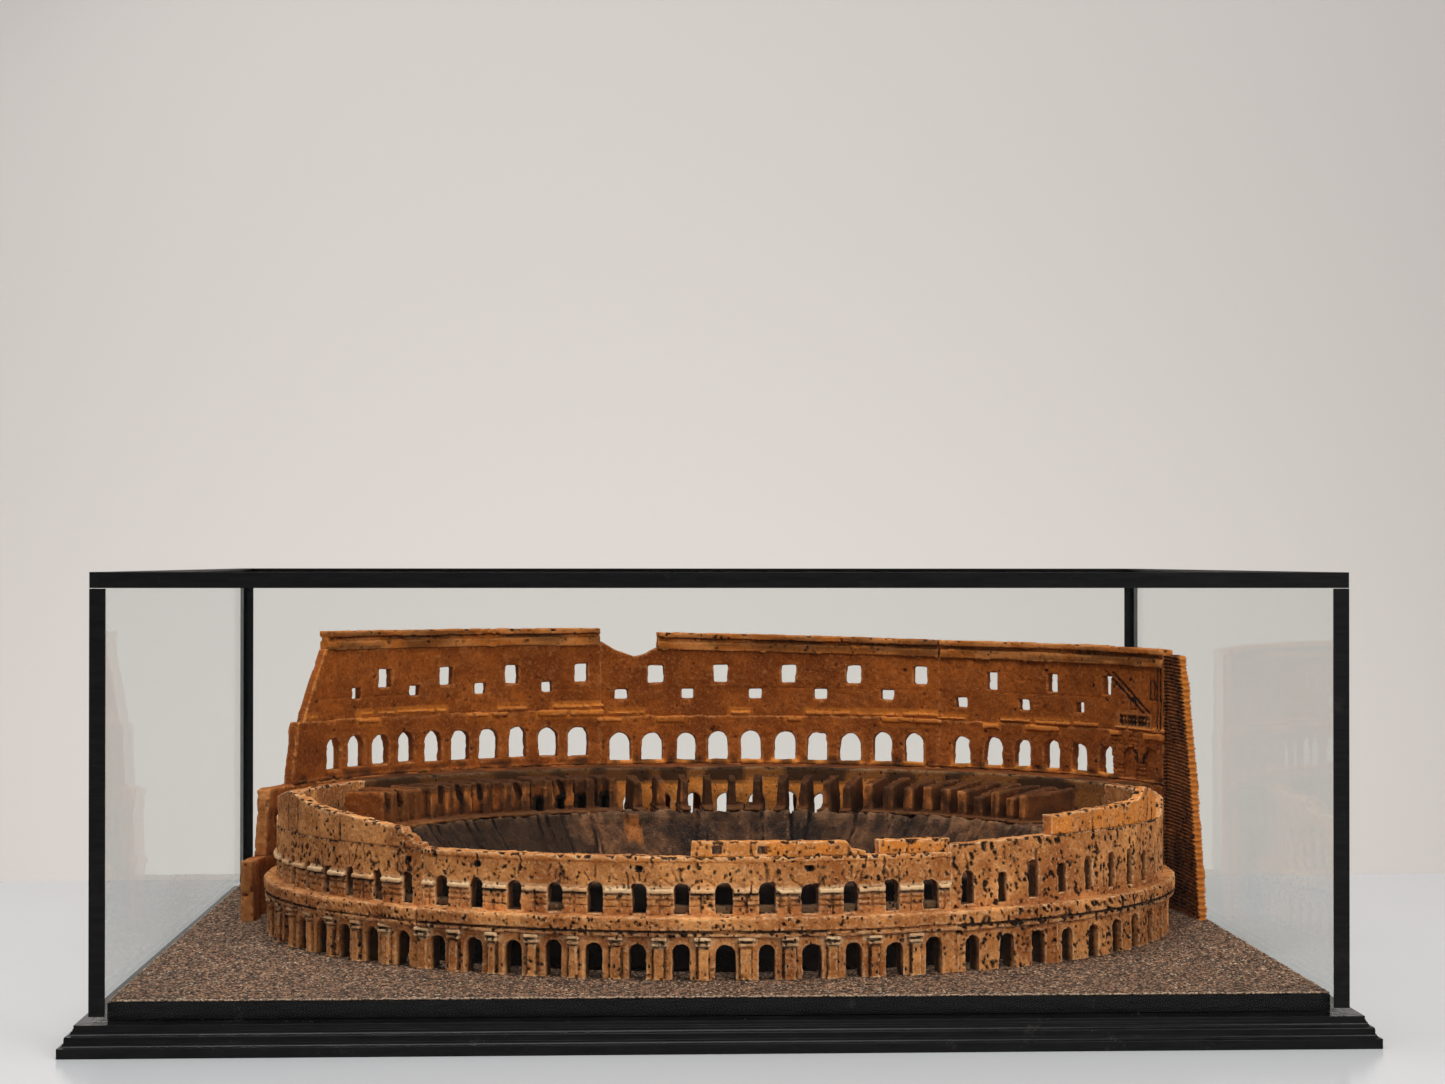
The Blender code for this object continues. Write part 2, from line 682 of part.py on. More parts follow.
def radial_walls(section, look, parent):
    """Ruined radial walls on the upper tier, in one piece with the thin floor that they stand on."""
    start, end, count = FIN_RANGES[section]
    rim = Oval(RING_CENTRE, BOWL_RIM)
    low = BOWL_HEIGHT["north"] + GAP
    plate, toe = low + FIN_PLATE, FIN_TOE[section]
    lengths = np.linspace(RING.length_at(start), RING.length_at(end), count + 1)

    def section_at(length, standing):
        angle = RING.angle_at(length)
        outer = np.array(RING.place(angle, BOWL_INSET - FIN_OVERHANG, 0.0))
        inner = np.array(rim.place(angle, -FIN_SETBACK, 0.0))
        points = [(0.0, low), (0.0, FIN_HEAD), (FIN_SLOPE_START, FIN_HEAD), (1.0, toe), (1.0, low)]
        made = []
        for share, height in points:
            point = outer + share * (inner - outer)
            made.append((float(point[0]), float(point[1]), height if standing else min(height, plate)))
        return made

    half = FIN_THICKNESS / 2
    sections = [section_at(float(lengths[0]), False)]
    for length in ((lengths[:-1] + lengths[1:]) / 2).tolist():
        sections.append(section_at(length - half - FIN_EDGE, False))
        sections.append(section_at(length - half, True))
        sections.append(section_at(length + half, True))
        sections.append(section_at(length + half + FIN_EDGE, False))
    sections.append(section_at(float(lengths[-1]), False))
    return loft(f"radial_walls_{section}", sections, look, parent)


def gallery_vault(look, parent):
    """The gallery roof that ties the ring's north side to the outer wall."""
    sections = []
    for degrees in np.linspace(VAULT_START, VAULT_END, VAULT_STATIONS).tolist():
        angle = math.radians(degrees)
        inner = RING.place(angle, UPPER_INSET - GAP, 0.0)
        outer = OUTER.place(angle, OUTER_THICKNESS + GAP, 0.0)
        corners = ((inner, VAULT_TOP), (outer, VAULT_TOP), (outer, VAULT_LOW), (inner, VAULT_LOW))
        sections.append([(point[0], point[1], height) for point, height in corners])
    return loft("gallery_vault", sections, look, parent)


def arena_floor(look, parent):
    oval = Oval(RING_CENTRE, BOWL_FOOT)
    bm = bmesh.new()
    angles = np.radians(np.arange(0, 360, 10)).tolist()
    corners = [bm.verts.new(oval.place(angle, ARENA_INSET, GAP)) for angle in angles]
    face = bm.faces.new(corners)
    raised = bmesh.ops.extrude_face_region(bm, geom=[face])["geom"]
    for vert in (item for item in raised if isinstance(item, bmesh.types.BMVert)):
        vert.co.z = ARENA_TOP
    bmesh.ops.triangulate(bm, faces=[f for f in bm.faces if len(f.verts) > 4])
    return new_object("arena_floor", bm, look, parent)


def make_bowl(looks, parent):
    bowl("south", 180.0, 360.0, looks["cork_grey"], parent)
    bowl("north", 0.0, 180.0, looks["cork_grey"], parent)
    radial_walls("east", looks["cork_dark"], parent)
    radial_walls("west", looks["cork_dark"], parent)
    gallery_vault(looks["cork_dark"], parent)
    arena_floor(looks["granules"], parent)


def main():
    clear_scene()
    looks = {
        "ebonised": material("ebonised_wood", (0.012, 0.011, 0.012), 0.28),
        "timber": material("plain_timber", (0.33, 0.20, 0.10), 0.6),
        "strip": material("black_strip", (0.010, 0.010, 0.011), 0.4),
        "glass": material("clear_glass", (0.95, 0.98, 0.97), 0.02, transmission=1.0),
        "steel": material("screw_steel", (0.55, 0.54, 0.52), 0.35, metallic=1.0),
        "granules": material("granulated_cork", (0.20, 0.12, 0.075), 0.9),
        "cork": material("carved_cork", (0.50, 0.27, 0.12), 0.85),
        "cork_dark": material("aged_cork", (0.27, 0.11, 0.035), 0.88),
        "cork_grey": material("sooty_cork", (0.13, 0.095, 0.07), 0.9),
        "brick_cork": material("brick_cork", (0.32, 0.13, 0.05), 0.88),
    }
    base = frame_empty("base_frame", 0.0)
    ground = frame_empty("ground_frame", BED_TOP)
    case = frame_empty("case_lift_frame", PLINTH_HEIGHT)
    make_plinth(looks, base)
    make_case(looks, case)
    make_ring(looks, ground)
    make_outer_wall(looks, ground)
    make_bowl(looks, ground)


main()
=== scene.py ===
"""The looks of the cased cork amphitheatre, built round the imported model.

Each cork piece is carved as a distance field over (length along an oval, height above the ground, inset
towards the arena), all in millimetres, and is then bent round its oval and turned into a mesh in metres.
"""

import functools
import math

import bmesh
import bpy
import numpy as np
import openvdb
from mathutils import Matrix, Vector
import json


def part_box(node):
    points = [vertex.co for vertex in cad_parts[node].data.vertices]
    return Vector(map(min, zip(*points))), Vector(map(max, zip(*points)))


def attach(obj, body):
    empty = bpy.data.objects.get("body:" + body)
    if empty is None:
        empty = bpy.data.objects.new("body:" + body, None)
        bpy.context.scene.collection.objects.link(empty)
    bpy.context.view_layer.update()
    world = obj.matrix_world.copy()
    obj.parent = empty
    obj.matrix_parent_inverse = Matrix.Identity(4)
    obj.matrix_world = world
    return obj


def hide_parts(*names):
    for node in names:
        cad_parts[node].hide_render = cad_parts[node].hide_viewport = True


MM = 0.001
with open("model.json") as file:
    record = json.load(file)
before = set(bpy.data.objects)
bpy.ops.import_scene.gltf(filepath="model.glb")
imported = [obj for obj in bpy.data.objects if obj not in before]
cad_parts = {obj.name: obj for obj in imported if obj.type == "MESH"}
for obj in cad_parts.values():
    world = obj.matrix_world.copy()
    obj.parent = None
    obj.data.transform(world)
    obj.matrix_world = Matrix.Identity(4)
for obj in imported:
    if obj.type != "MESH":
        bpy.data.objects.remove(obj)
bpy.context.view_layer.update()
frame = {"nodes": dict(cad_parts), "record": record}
RECORD = frame["record"]
SLOT_OF = {row["node"]: row["material_slot"] for row in RECORD["subparts"]}
BODY_OF = {node: body for body, nodes in RECORD["behaviour"]["bodies"].items() for node in nodes}
SECTIONS = ("south", "east", "north", "west")
PANELS = ("east", "middle", "west")
SIDES = ("front", "back", "left", "right")

# Camera
CAMERA_PLACE = (-0.0571, -1.5206, 0.2404)
CAMERA_TURN = (math.pi / 2 + 0.00684, -0.00045, -0.0439)
CAMERA_LENS = 63.95

# Ground, and the edge of one cell of the carving's grid for each kind of piece
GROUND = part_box("ground_bed")[1].z / MM
CELL = {
    "ring": 0.58, "ring_north": 1.1, "wall": 0.92, "wall_east": 0.7, "wall_low": 1.2, "cornice": 0.8,
    "buttress": 0.55, "bowl_north": 1.25, "bowl_south": 1.6, "radial": 1.05, "vault": 1.15,
}
# Cells averaged each way to find how deeply a point lies in a hollow, and a length beyond every piece
RELIEF_REACH, BEYOND = 2, 1e4

# Inner ring, in millimetres; angles in degrees, 0 at the right and 90 at the rear
RING_CENTRE, RING_HALF = (9.0, 2.0), (267.5, 211.0)
RING_PITCH = 22.0
RING_ANGLES = {
    "south": (-129.0, -64.6),
    "east": (-64.6, 18.0),
    "north": (18.0, 150.0),
    "west": (150.0, 231.0),
}
LOWER_FACE, LOWER_BACK, SHAFT_TOP, LOWER_TOP = 3.5, 13.5, 17.2, 22.4
BELT_BACK, BELT_LOW, BELT_TOP = 13.5, 22.6, 33.0
UPPER_FACE, UPPER_BACK = 7.0, 15.0
LEDGE_LOW, LEDGE_TOP = 60.4, 63.2
# Heights of the block joints and of the imposts on the upper storey's piers
COURSES, IMPOST = (37.4, 40.6), 44.0
# Beyond the ring's top and back, as limits for paint
RING_ABOVE, RING_BEHIND = 80.0, 30.0
# Lean of the pores where the bark's grain runs slantwise, in radians
SLANTED = (1.7, 2.7)
UPPER_TOPS = {
    "south": ((-129.0, 63.4), (-64.6, 63.0)),
    "east": ((-64.6, 66.8), (-52.0, 68.5), (-14.5, 68.7), (-9.0, 77.0), (18.0, 77.0)),
    "north": ((18.0, 77.0), (150.0, 77.0)),
    "west": ((150.0, 77.0), (179.5, 77.0), (184.5, 63.0), (231.0, 63.4)),
}
BLOCKS = {
    "attic_block_long": (63.3, ((-95.2, 71.2), (-77.6, 70.8), (-76.9, 66.5), (-75.6, 65.5))),
    "attic_block_short": (63.3, ((-73.6, 70.6), (-64.9, 70.5))),
    "attic_block_east": (68.8, ((-49.2, 78.8), (-39.0, 80.4), (-28.6, 81.6), (-25.9, 88.5), (-20.5, 84.0))),
    "attic_block_west": (63.3, ((191.0, 80.0), (200.0, 86.0), (207.0, 81.0), (217.0, 77.6), (227.6, 73.2),
                                (228.1, 70.4), (229.2, 69.8), (229.6, 66.6), (230.5, 66.0))),
}

# Tall outer wall; its inner face is the one seen over the ring
OUTER_CENTRE, OUTER_HALF = (11.5, 4.0), (289.0, 246.0)
OUTER_BACK, THIRD_BACK, ATTIC_BACK = 7.5, 7.0, 6.6
PANEL_ANGLES = {"east": (13.6, 57.0), "middle": (57.2, 105.2), "west": (105.4, 153.0)}
BAYS = {"east": (14.4, 56.2, 8), "middle": (58.5, 104.9, 10), "west": (106.4, 152.2, 10)}
ATTIC_BAYS = {"east": (14.4, 56.2, 8), "middle": (57.8, 104.6, 10), "west": (105.6, 147.4, 8)}
FIRST_TOP, SECOND_TOP = 36.0, 76.0
WEST_ENDS = {
    "first": (176.0, 176.0),
    "second": (169.5, 168.0),
    "third": (160.0, 158.4),
    "attic": (156.8, 151.4),
}
THIRD_TOP = {"east": 107.5, "middle": 109.0, "west": 114.0}
THIRD_ARCH = {"east": (78.0, 97.0, 13.0), "middle": (77.5, 97.6, 14.2), "west": (82.5, 102.3, 13.2)}
BLIND_BAYS = {"east": 2, "middle": 0, "west": 0}
ATTIC_TOPS = {
    "east": ((13.6, 149.0), (57.0, 150.5)),
    "middle": ((57.2, 150.5), (97.4, 155.4), (99.0, 151.2), (100.4, 150.0), (103.0, 154.0), (105.2, 160.0)),
    "west": ((105.4, 158.0), (153.0, 159.0)),
}
LARGE_WINDOW = {"east": (129.0, 11.8, 8.5), "middle": (131.5, 11.8, 10.5), "west": (132.5, 12.2, 10.0)}
SMALL_WINDOW = {"east": (116.5, 6.8, 8.0), "middle": (120.5, 6.6, 8.8), "west": (126.2, 6.8, 8.0)}
ATTIC_PILASTER_TOP, ATTIC_JOINT = 146.0, 127.0
CORNICE_HEIGHT = 10.8
CORNICE_ENDS = {"east": 57.0, "middle": 97.3, "west": 151.0}
CORNICE_FOOT = {
    "east": ((13.6, 149.3), (57.0, 150.8)),
    "middle": ((57.2, 150.8), (97.3, 155.3)),
    "west": ((105.4, 158.3), (153.0, 159.3)),
}

# Seating bowl: a level tier, then a slope down to the arena, as insets from the ring's oval
TIER_START, RIM, BOWL_FOOT = 30.0, 76.0, 125.0
TIER_HEIGHT = {"south": 46.0, "north": 53.0}
FINS = {"east": (20.0, 84.2, 15), "west": (84.4, 162.0, 18)}
FIN_HEAD, FIN_TOP, FIN_REACH = 73.5, 76.0, 74.0
# Angles on the ring's oval: the bays left open before the windows, the last door, where the painted shade
# starts in the west
OPEN_BAYS, LAST_DOOR, WEST_SHADE = (64.0, 106.0), 121.0, 148.0
# The podium, where the slope's painted shade starts, and the ends of the painted shade on the north ring
PODIUM, SHADED_SLOPE, NORTH_SHADE = 104.5, 118.0, (62.0, 100.0)


# ---- Ovals, noise and distance fields


class Oval:
    """An ellipse seen from above, measured along its length."""

    def __init__(self, centre, half):
        self.centre, self.half = np.array(centre), np.array(half)
        self.angles = np.radians(np.linspace(-180.0, 360.0, 5401))
        line = self.half * np.column_stack([np.cos(self.angles), np.sin(self.angles)])
        steps = np.hypot(*np.diff(line, axis=0).T)
        self.lengths = np.concatenate([[0.0], np.cumsum(steps)])

    def length_at(self, degrees):
        return float(np.interp(math.radians(degrees), self.angles, self.lengths))

    def place(self, lengths, heights, insets):
        """Points in metres for lengths along the oval, heights above the ground and insets to the arena."""
        angles = np.interp(lengths, self.lengths, self.angles)
        direction = np.column_stack([np.cos(angles), np.sin(angles)])
        normal = direction / self.half
        normal /= np.linalg.norm(normal, axis=1, keepdims=True)
        flat = self.centre + self.half * direction - insets[:, None] * normal
        return np.column_stack([flat, heights + GROUND]) * MM

    def bays(self, start, end, count):
        edges = np.linspace(self.length_at(start), self.length_at(end), count + 1)
        return list(zip(edges[:-1].tolist(), edges[1:].tolist()))

    def line(self, points):
        """Lengths and heights of a top edge given as (angle, height) points."""
        return [self.length_at(angle) for angle, _ in points], [height for _, height in points]


RING, OUTER = Oval(RING_CENTRE, RING_HALF), Oval(OUTER_CENTRE, OUTER_HALF)


def meet(*fields):
    """The distance field of what several shapes have in common."""
    return functools.reduce(np.maximum, fields)


def between(value, low, high):
    """Distance to the slab between two limits, which may vary from place to place."""
    return np.maximum(low - value, value - high)


def brick(low, high, rounding=0.35):
    """Distance to a box with rounded edges."""
    middle, half = (np.array(low) + high) / 2, (np.array(high) - low) / 2 - rounding

    def shape(s, z, d):
        gaps = [np.abs(axis - m) - h for axis, m, h in zip((s, z, d), middle, half)]
        outside = np.sqrt(sum(np.maximum(gap, 0.0) ** 2 for gap in gaps))
        inside = np.minimum(meet(*gaps), 0.0)
        return outside + inside - rounding

    return shape


def arch(middle, sill, crown, width):
    """Distance to a round-headed opening that runs right through the wall."""
    radius = width / 2
    spring = crown - radius

    def shape(s, z, d):
        head = np.hypot(s - middle, z - spring) - radius
        jambs = np.abs(s - middle) - radius
        return np.maximum(np.where(z > spring, head, jambs), sill - z) + 0 * d

    return shape


def stroke(start, end, half_width, surface, depth, side):
    """A groove along a straight line on the face at surface.

    Side is 1 on the outer face and -1 on the inner one.
    """
    (s1, z1), (s2, z2) = start, end
    run, rise = s2 - s1, z2 - z1
    squared = run * run + rise * rise

    def shape(s, z, d):
        share = np.clip(((s - s1) * run + (z - z1) * rise) / squared, 0.0, 1.0)
        across = np.hypot(s - s1 - share * run, z - z1 - share * rise) - half_width
        return np.maximum(across, (d - surface) * side - depth)

    return shape


def pit(place, radii, lean):
    """Distance to an ellipsoid, leaning in the plane of the wall."""
    cosine, sine = math.cos(lean), math.sin(lean)

    def shape(s, z, d):
        along, up = s - place[0], z - place[1]
        u, v = along * cosine + up * sine, up * cosine - along * sine
        reach = np.sqrt((u / radii[0]) ** 2 + (v / radii[1]) ** 2 + ((d - place[2]) / radii[2]) ** 2)
        return (reach - 1.0) * min(radii)

    return shape


def blurred(volume, reach):
    """The volume averaged over a box that reaches this many cells each way."""
    for axis in range(3):
        edges = [(0, 0)] * 3
        edges[axis] = (reach + 1, reach)
        total = np.cumsum(np.pad(volume, edges), axis=axis, dtype=np.float64)
        size = total.shape[axis]
        upper = np.take(total, range(2 * reach + 1, size), axis=axis)
        lower = np.take(total, range(0, size - 2 * reach - 1), axis=axis)
        volume = (upper - lower) / (2 * reach + 1)
    return volume


class Carving:
    """One cork piece while it is carved."""

    def __init__(self, oval, low, high, voxel, seed):
        self.oval, self.voxel = oval, voxel
        self.random = np.random.default_rng(seed)
        margin = 3 * voxel
        self.axes = []
        for a, b in zip(low, high):
            count = math.ceil((b - a + 2 * margin) / voxel) + 1
            self.axes.append(a - margin + voxel * np.arange(count))
        self.field = np.full([len(points) for points in self.axes], 50.0, np.float32)
        self.paints = {}

    def window(self, low, high):
        """The grid's slices and coordinates between two corners."""
        slices, grid = [], []
        for axis, points in enumerate(self.axes):
            reach = 2 * self.voxel
            a, b = np.searchsorted(points, (low[axis] - reach, high[axis] + reach))
            slices.append(slice(a, b))
            grid.append(points[a:b].reshape([-1 if i == axis else 1 for i in range(3)]))
        return tuple(slices), grid

    def add(self, low, high, shape):
        at, grid = self.window(low, high)
        self.field[at] = np.minimum(self.field[at], shape(*grid))

    def cut(self, low, high, shape):
        at, grid = self.window(low, high)
        self.field[at] = np.maximum(self.field[at], -shape(*grid))

    def add_brick(self, low, high, rounding=0.35):
        self.add(low, high, brick(low, high, rounding))

    def cut_brick(self, low, high, rounding=0.2):
        self.cut(low, high, brick(low, high, rounding))

    def cut_arch(self, middle, sill, crown, width):
        half = width / 2
        depths = self.axes[2][0], self.axes[2][-1]
        low, high = (middle - half, sill, depths[0]), (middle + half, crown, depths[1])
        self.cut(low, high, arch(middle, sill, crown, width))

    # Grooves and pits are cut with their hollows painted dark: painted shade, and in pores also their own
    # dark
    def cut_stroke(self, start, end, half_width, surface, depth, side=1, shade_and_pore_dark=0.75):
        low = [min(a, b) - half_width for a, b in zip(start, end)]
        high = [max(a, b) + half_width for a, b in zip(start, end)]
        near, far = sorted((surface - 3 * side, surface + depth * side))
        groove = stroke(start, end, half_width, surface, depth, side)
        self.cut_and_shade((*low, near), (*high, far), groove, shade_and_pore_dark)

    def cut_pit(self, place, radii, lean=0.0, shade_and_pore_dark=1.0):
        reach = max(radii)
        low, high = [p - reach for p in place], [p + reach for p in place]
        self.cut_and_shade(low, high, pit(place, radii, lean), shade_and_pore_dark)

    def cut_and_shade(self, low, high, shape, shade_and_pore_dark):
        """Cuts a shape and paints shade into the hollow that it leaves, which in pores also stands for their
        own dark.
        """
        at, grid = self.window(low, high)
        depth = shape(*grid)
        self.field[at] = np.maximum(self.field[at], -depth)
        pores_and_shade = self.layer("pore_dark_and_shade")
        pores_and_shade[at] = np.maximum(pores_and_shade[at], np.where(depth < 0.15 * self.voxel, shade_and_pore_dark, 0.0))

    def layer(self, name):
        if name not in self.paints:
            self.paints[name] = np.zeros(self.field.shape, np.float32)
        return self.paints[name]

    def paint(self, name, low, high, value):
        """Marks a region for the material: pale (in places a painted highlight), warm, painted shade, or near
        black painted shade in a hollow.
        """
        at, _ = self.window(low, high)
        self.layer(name)[at] = value

    def stain(self, name, low, high, value, size):
        """Marks a region in soft-edged patches of this size."""
        share = np.clip(0.5 + 2.2 * self.lumps(size), 0.0, 1.0)
        at, _ = self.window(low, high)
        self.layer(name)[at] = np.maximum(self.layer(name)[at], value * share[at])

    def wall(self, front, back, low, top):
        """A wall between two insets, up to a top edge that may be a (lengths, heights) line.

        Its foot and ends reach a little into its neighbours, so that no light shows at a seam.
        """
        foot = low - 1.0 if low > 1.0 else low
        start, end = self.axes[0][0] + 2 * self.voxel, self.axes[0][-1] - 2 * self.voxel

        def shape(s, z, d):
            high = np.interp(s, *top) if isinstance(top, tuple | list) else top
            return meet(between(s, start, end), between(z, foot, high), between(d, front, back))

        self.add([-BEYOND] * 3, [BEYOND] * 3, shape)

    def lumps(self, size):
        """Smooth noise from -1 to 1 over the whole grid, in lumps of this size, or of one size per axis."""
        sizes = size if isinstance(size, tuple) else (size, size, size)
        counts = [int((p[-1] - p[0]) / step) + 3 for p, step in zip(self.axes, sizes)]
        volume = self.random.uniform(-1.0, 1.0, counts).astype(np.float32)
        for axis, (points, step) in enumerate(zip(self.axes, sizes)):
            at = (points - points[0]) / step
            low = at.astype(int)
            share = (at - low).reshape([-1 if i == axis else 1 for i in range(3)])
            share = (share * share * (3 - 2 * share)).astype(np.float32)
            volume = np.take(volume, low, axis) * (1 - share) + np.take(volume, low + 1, axis) * share
        return volume

    def wobble(self, reach):
        """A random number from -reach to reach."""
        return self.random.uniform(-reach, reach)

    def spot(self, low, high):
        """A random place on the wall between two corners."""
        return self.random.uniform(low[0], high[0]), self.random.uniform(low[1], high[1])

    def weather(self, coarse=0.35, fine=0.22):
        """Uneven surfaces, as a knife and age leave them."""
        self.field += coarse * self.lumps(9.0) + 0.6 * coarse * self.lumps(4.0) + fine * self.lumps(1.7)

    def pores(self, count, low, high, faces, long=(0.5, 1.25), wide=(0.38, 0.62), lean=(0.0, math.pi)):
        """Bark pores: small elongated pits on these faces, most of them short."""
        for _ in range(count):
            s, z = self.spot(low, high)
            span = long[0] + (long[1] - long[0]) * self.random.random() ** 2
            radii = (span, min(span, self.random.uniform(*wide)), self.random.uniform(0.6, 1.3))
            face = faces[int(self.random.integers(len(faces)))]
            self.cut_pit((s, z, face), radii, self.random.uniform(*lean))

    def cracks(self, count, low, high, surface):
        """Thin cracks that run up and down a face."""
        for _ in range(count):
            s, z = self.spot(low, high)
            for _ in range(3):
                step = self.wobble(1.6), self.random.uniform(2.0, 4.5)
                after = s + step[0], min(z + step[1], high[1])
                if after[1] - z > 0.5:
                    self.cut_stroke((s, z), after, 0.33, surface, 0.8, 1, 0.6)
                s, z = after

    def nibble(self, count, top, front, back, size=(0.8, 2.0)):
        """Bites out of a top edge."""
        for _ in range(count):
            s = self.random.uniform(self.axes[0][0], self.axes[0][-1])
            height = float(np.interp(s, *top)) + self.random.uniform(0.0, 0.6)
            face = self.random.choice((front, back, (front + back) / 2))
            self.cut_pit((s, height, face), self.random.uniform(*size, 3).tolist())

    def show(self, node):
        """Turns the carving into the piece that stands for a node."""
        stand_for(self.mesh(node), node)

    def mesh(self, name):
        """The surface of the field, with how deeply each point lies in a hollow, and its paints."""
        grid = openvdb.FloatGrid(50.0)
        grid.copyFromArray(self.field)
        points, quads = grid.convertToQuads()
        cells = np.clip(np.rint(points).astype(int), 0, np.array(self.field.shape) - 1).T
        starts = np.array([axis[0] for axis in self.axes])
        placed = self.oval.place(*(starts + points * self.voxel).T)
        solid = np.clip(0.5 - self.field / self.voxel, 0.0, 1.0)
        marks = {"relief": blurred(solid, RELIEF_REACH)[tuple(cells)]}
        for paint, volume in self.paints.items():
            marks[paint] = blurred(volume, 1)[tuple(cells)]
        return mesh_from(name, placed, quads, marks)


def mesh_from(name, points, quads, marks, lid=()):
    """A closed mesh that faces outwards, with named values at its points.

    Lid is one more, many-sided face.
    """
    a, b, c, d = (points[quads[:, i]] for i in range(4))
    if np.einsum("ij,ij->i", a, np.cross(b, c) + np.cross(c, d)).sum() < 0:
        quads = quads[:, ::-1]
    mesh = bpy.data.meshes.new(name)
    mesh.vertices.add(len(points))
    mesh.vertices.foreach_set("co", points.astype(np.float32).ravel())
    corners = np.concatenate([quads.ravel(), lid]).astype(np.int32)
    starts = np.arange(0, quads.size + bool(len(lid)), 4, dtype=np.int32)
    mesh.loops.add(len(corners))
    mesh.loops.foreach_set("vertex_index", corners)
    mesh.polygons.add(len(starts))
    mesh.polygons.foreach_set("loop_start", starts)
    mesh.update(calc_edges=True)
    mesh.validate()
    for mark, values in marks.items():
        layer = mesh.attributes.new(mark, "FLOAT", "POINT")
        layer.data.foreach_set("value", values.astype(np.float32))
    mesh.shade_smooth()
    return mesh


# ---- Materials


class Nodes:
    """Short forms for building a material's nodes."""

    def __init__(self, name):
        self.material = bpy.data.materials.new(name)
        self.material.use_nodes = True
        self.tree = self.material.node_tree
        self.shader = self.tree.nodes["Principled BSDF"]
        self.place = self.tree.nodes.new("ShaderNodeTexCoord").outputs["Object"]

    def link(self, source, socket):
        if isinstance(source, bpy.types.NodeSocket):
            self.tree.links.new(source, socket)
        else:
            socket.default_value = source

    def stretched(self, scale):
        node = self.tree.nodes.new("ShaderNodeMapping")
        node.inputs["Scale"].default_value = scale
        self.link(self.place, node.inputs["Vector"])
        return node.outputs["Vector"]

    def noise(self, scale, detail=3.0, roughness=0.55, stretch=None, distortion=0.0):
        node = self.tree.nodes.new("ShaderNodeTexNoise")
        self.link(self.stretched(stretch) if stretch else self.place, node.inputs["Vector"])
        node.inputs["Scale"].default_value = scale
        node.inputs["Detail"].default_value = detail
        node.inputs["Roughness"].default_value = roughness
        node.inputs["Distortion"].default_value = distortion
        return node.outputs["Fac"]

    def cells(self, scale, output="Distance", stretch=None):
        node = self.tree.nodes.new("ShaderNodeTexVoronoi")
        self.link(self.stretched(stretch) if stretch else self.place, node.inputs["Vector"])
        node.inputs["Scale"].default_value = scale
        return node.outputs[output]

    def mark(self, name):
        node = self.tree.nodes.new("ShaderNodeAttribute")
        node.attribute_name = name
        return node.outputs["Fac"]

    def ramp(self, value, low, high, start=0.0, end=1.0):
        """Value carried from the range low to high to the range start to end, and held outside it."""
        node = self.tree.nodes.new("ShaderNodeMapRange")
        for socket, number in (("From Min", low), ("From Max", high), ("To Min", start), ("To Max", end)):
            node.inputs[socket].default_value = number
        self.link(value, node.inputs["Value"])
        return node.outputs["Result"]

    def maths(self, operation, a, b):
        node = self.tree.nodes.new("ShaderNodeMath")
        node.operation = operation
        self.link(a, node.inputs[0])
        self.link(b, node.inputs[1])
        return node.outputs[0]

    def times(self, a, b):
        return self.maths("MULTIPLY", a, b)

    def mix(self, share, a, b):
        node = self.tree.nodes.new("ShaderNodeMix")
        node.data_type = "RGBA"
        for socket, value in ((0, share), (6, a), (7, b)):
            if isinstance(value, tuple):
                value = (*value, 1.0)
            self.link(value, node.inputs[socket])
        return node.outputs[2]

    def bump(self, height, strength, distance):
        node = self.tree.nodes.new("ShaderNodeBump")
        node.inputs["Strength"].default_value = strength
        node.inputs["Distance"].default_value = distance
        self.link(height, node.inputs["Height"])
        return node.outputs["Normal"]

    def finish(self, colour, roughness, normal):
        self.link(colour, self.shader.inputs["Base Color"])
        self.link(roughness, self.shader.inputs["Roughness"])
        self.link(normal, self.shader.inputs["Normal"])
        return self.material


# Near black painted into cut hollows as their shade, also the dark of pores; and how many granules lie in a
# metre
PORE_AND_SHADE_BLACK, GRAINS_PER_METRE = (0.010, 0.005, 0.003), 760.0


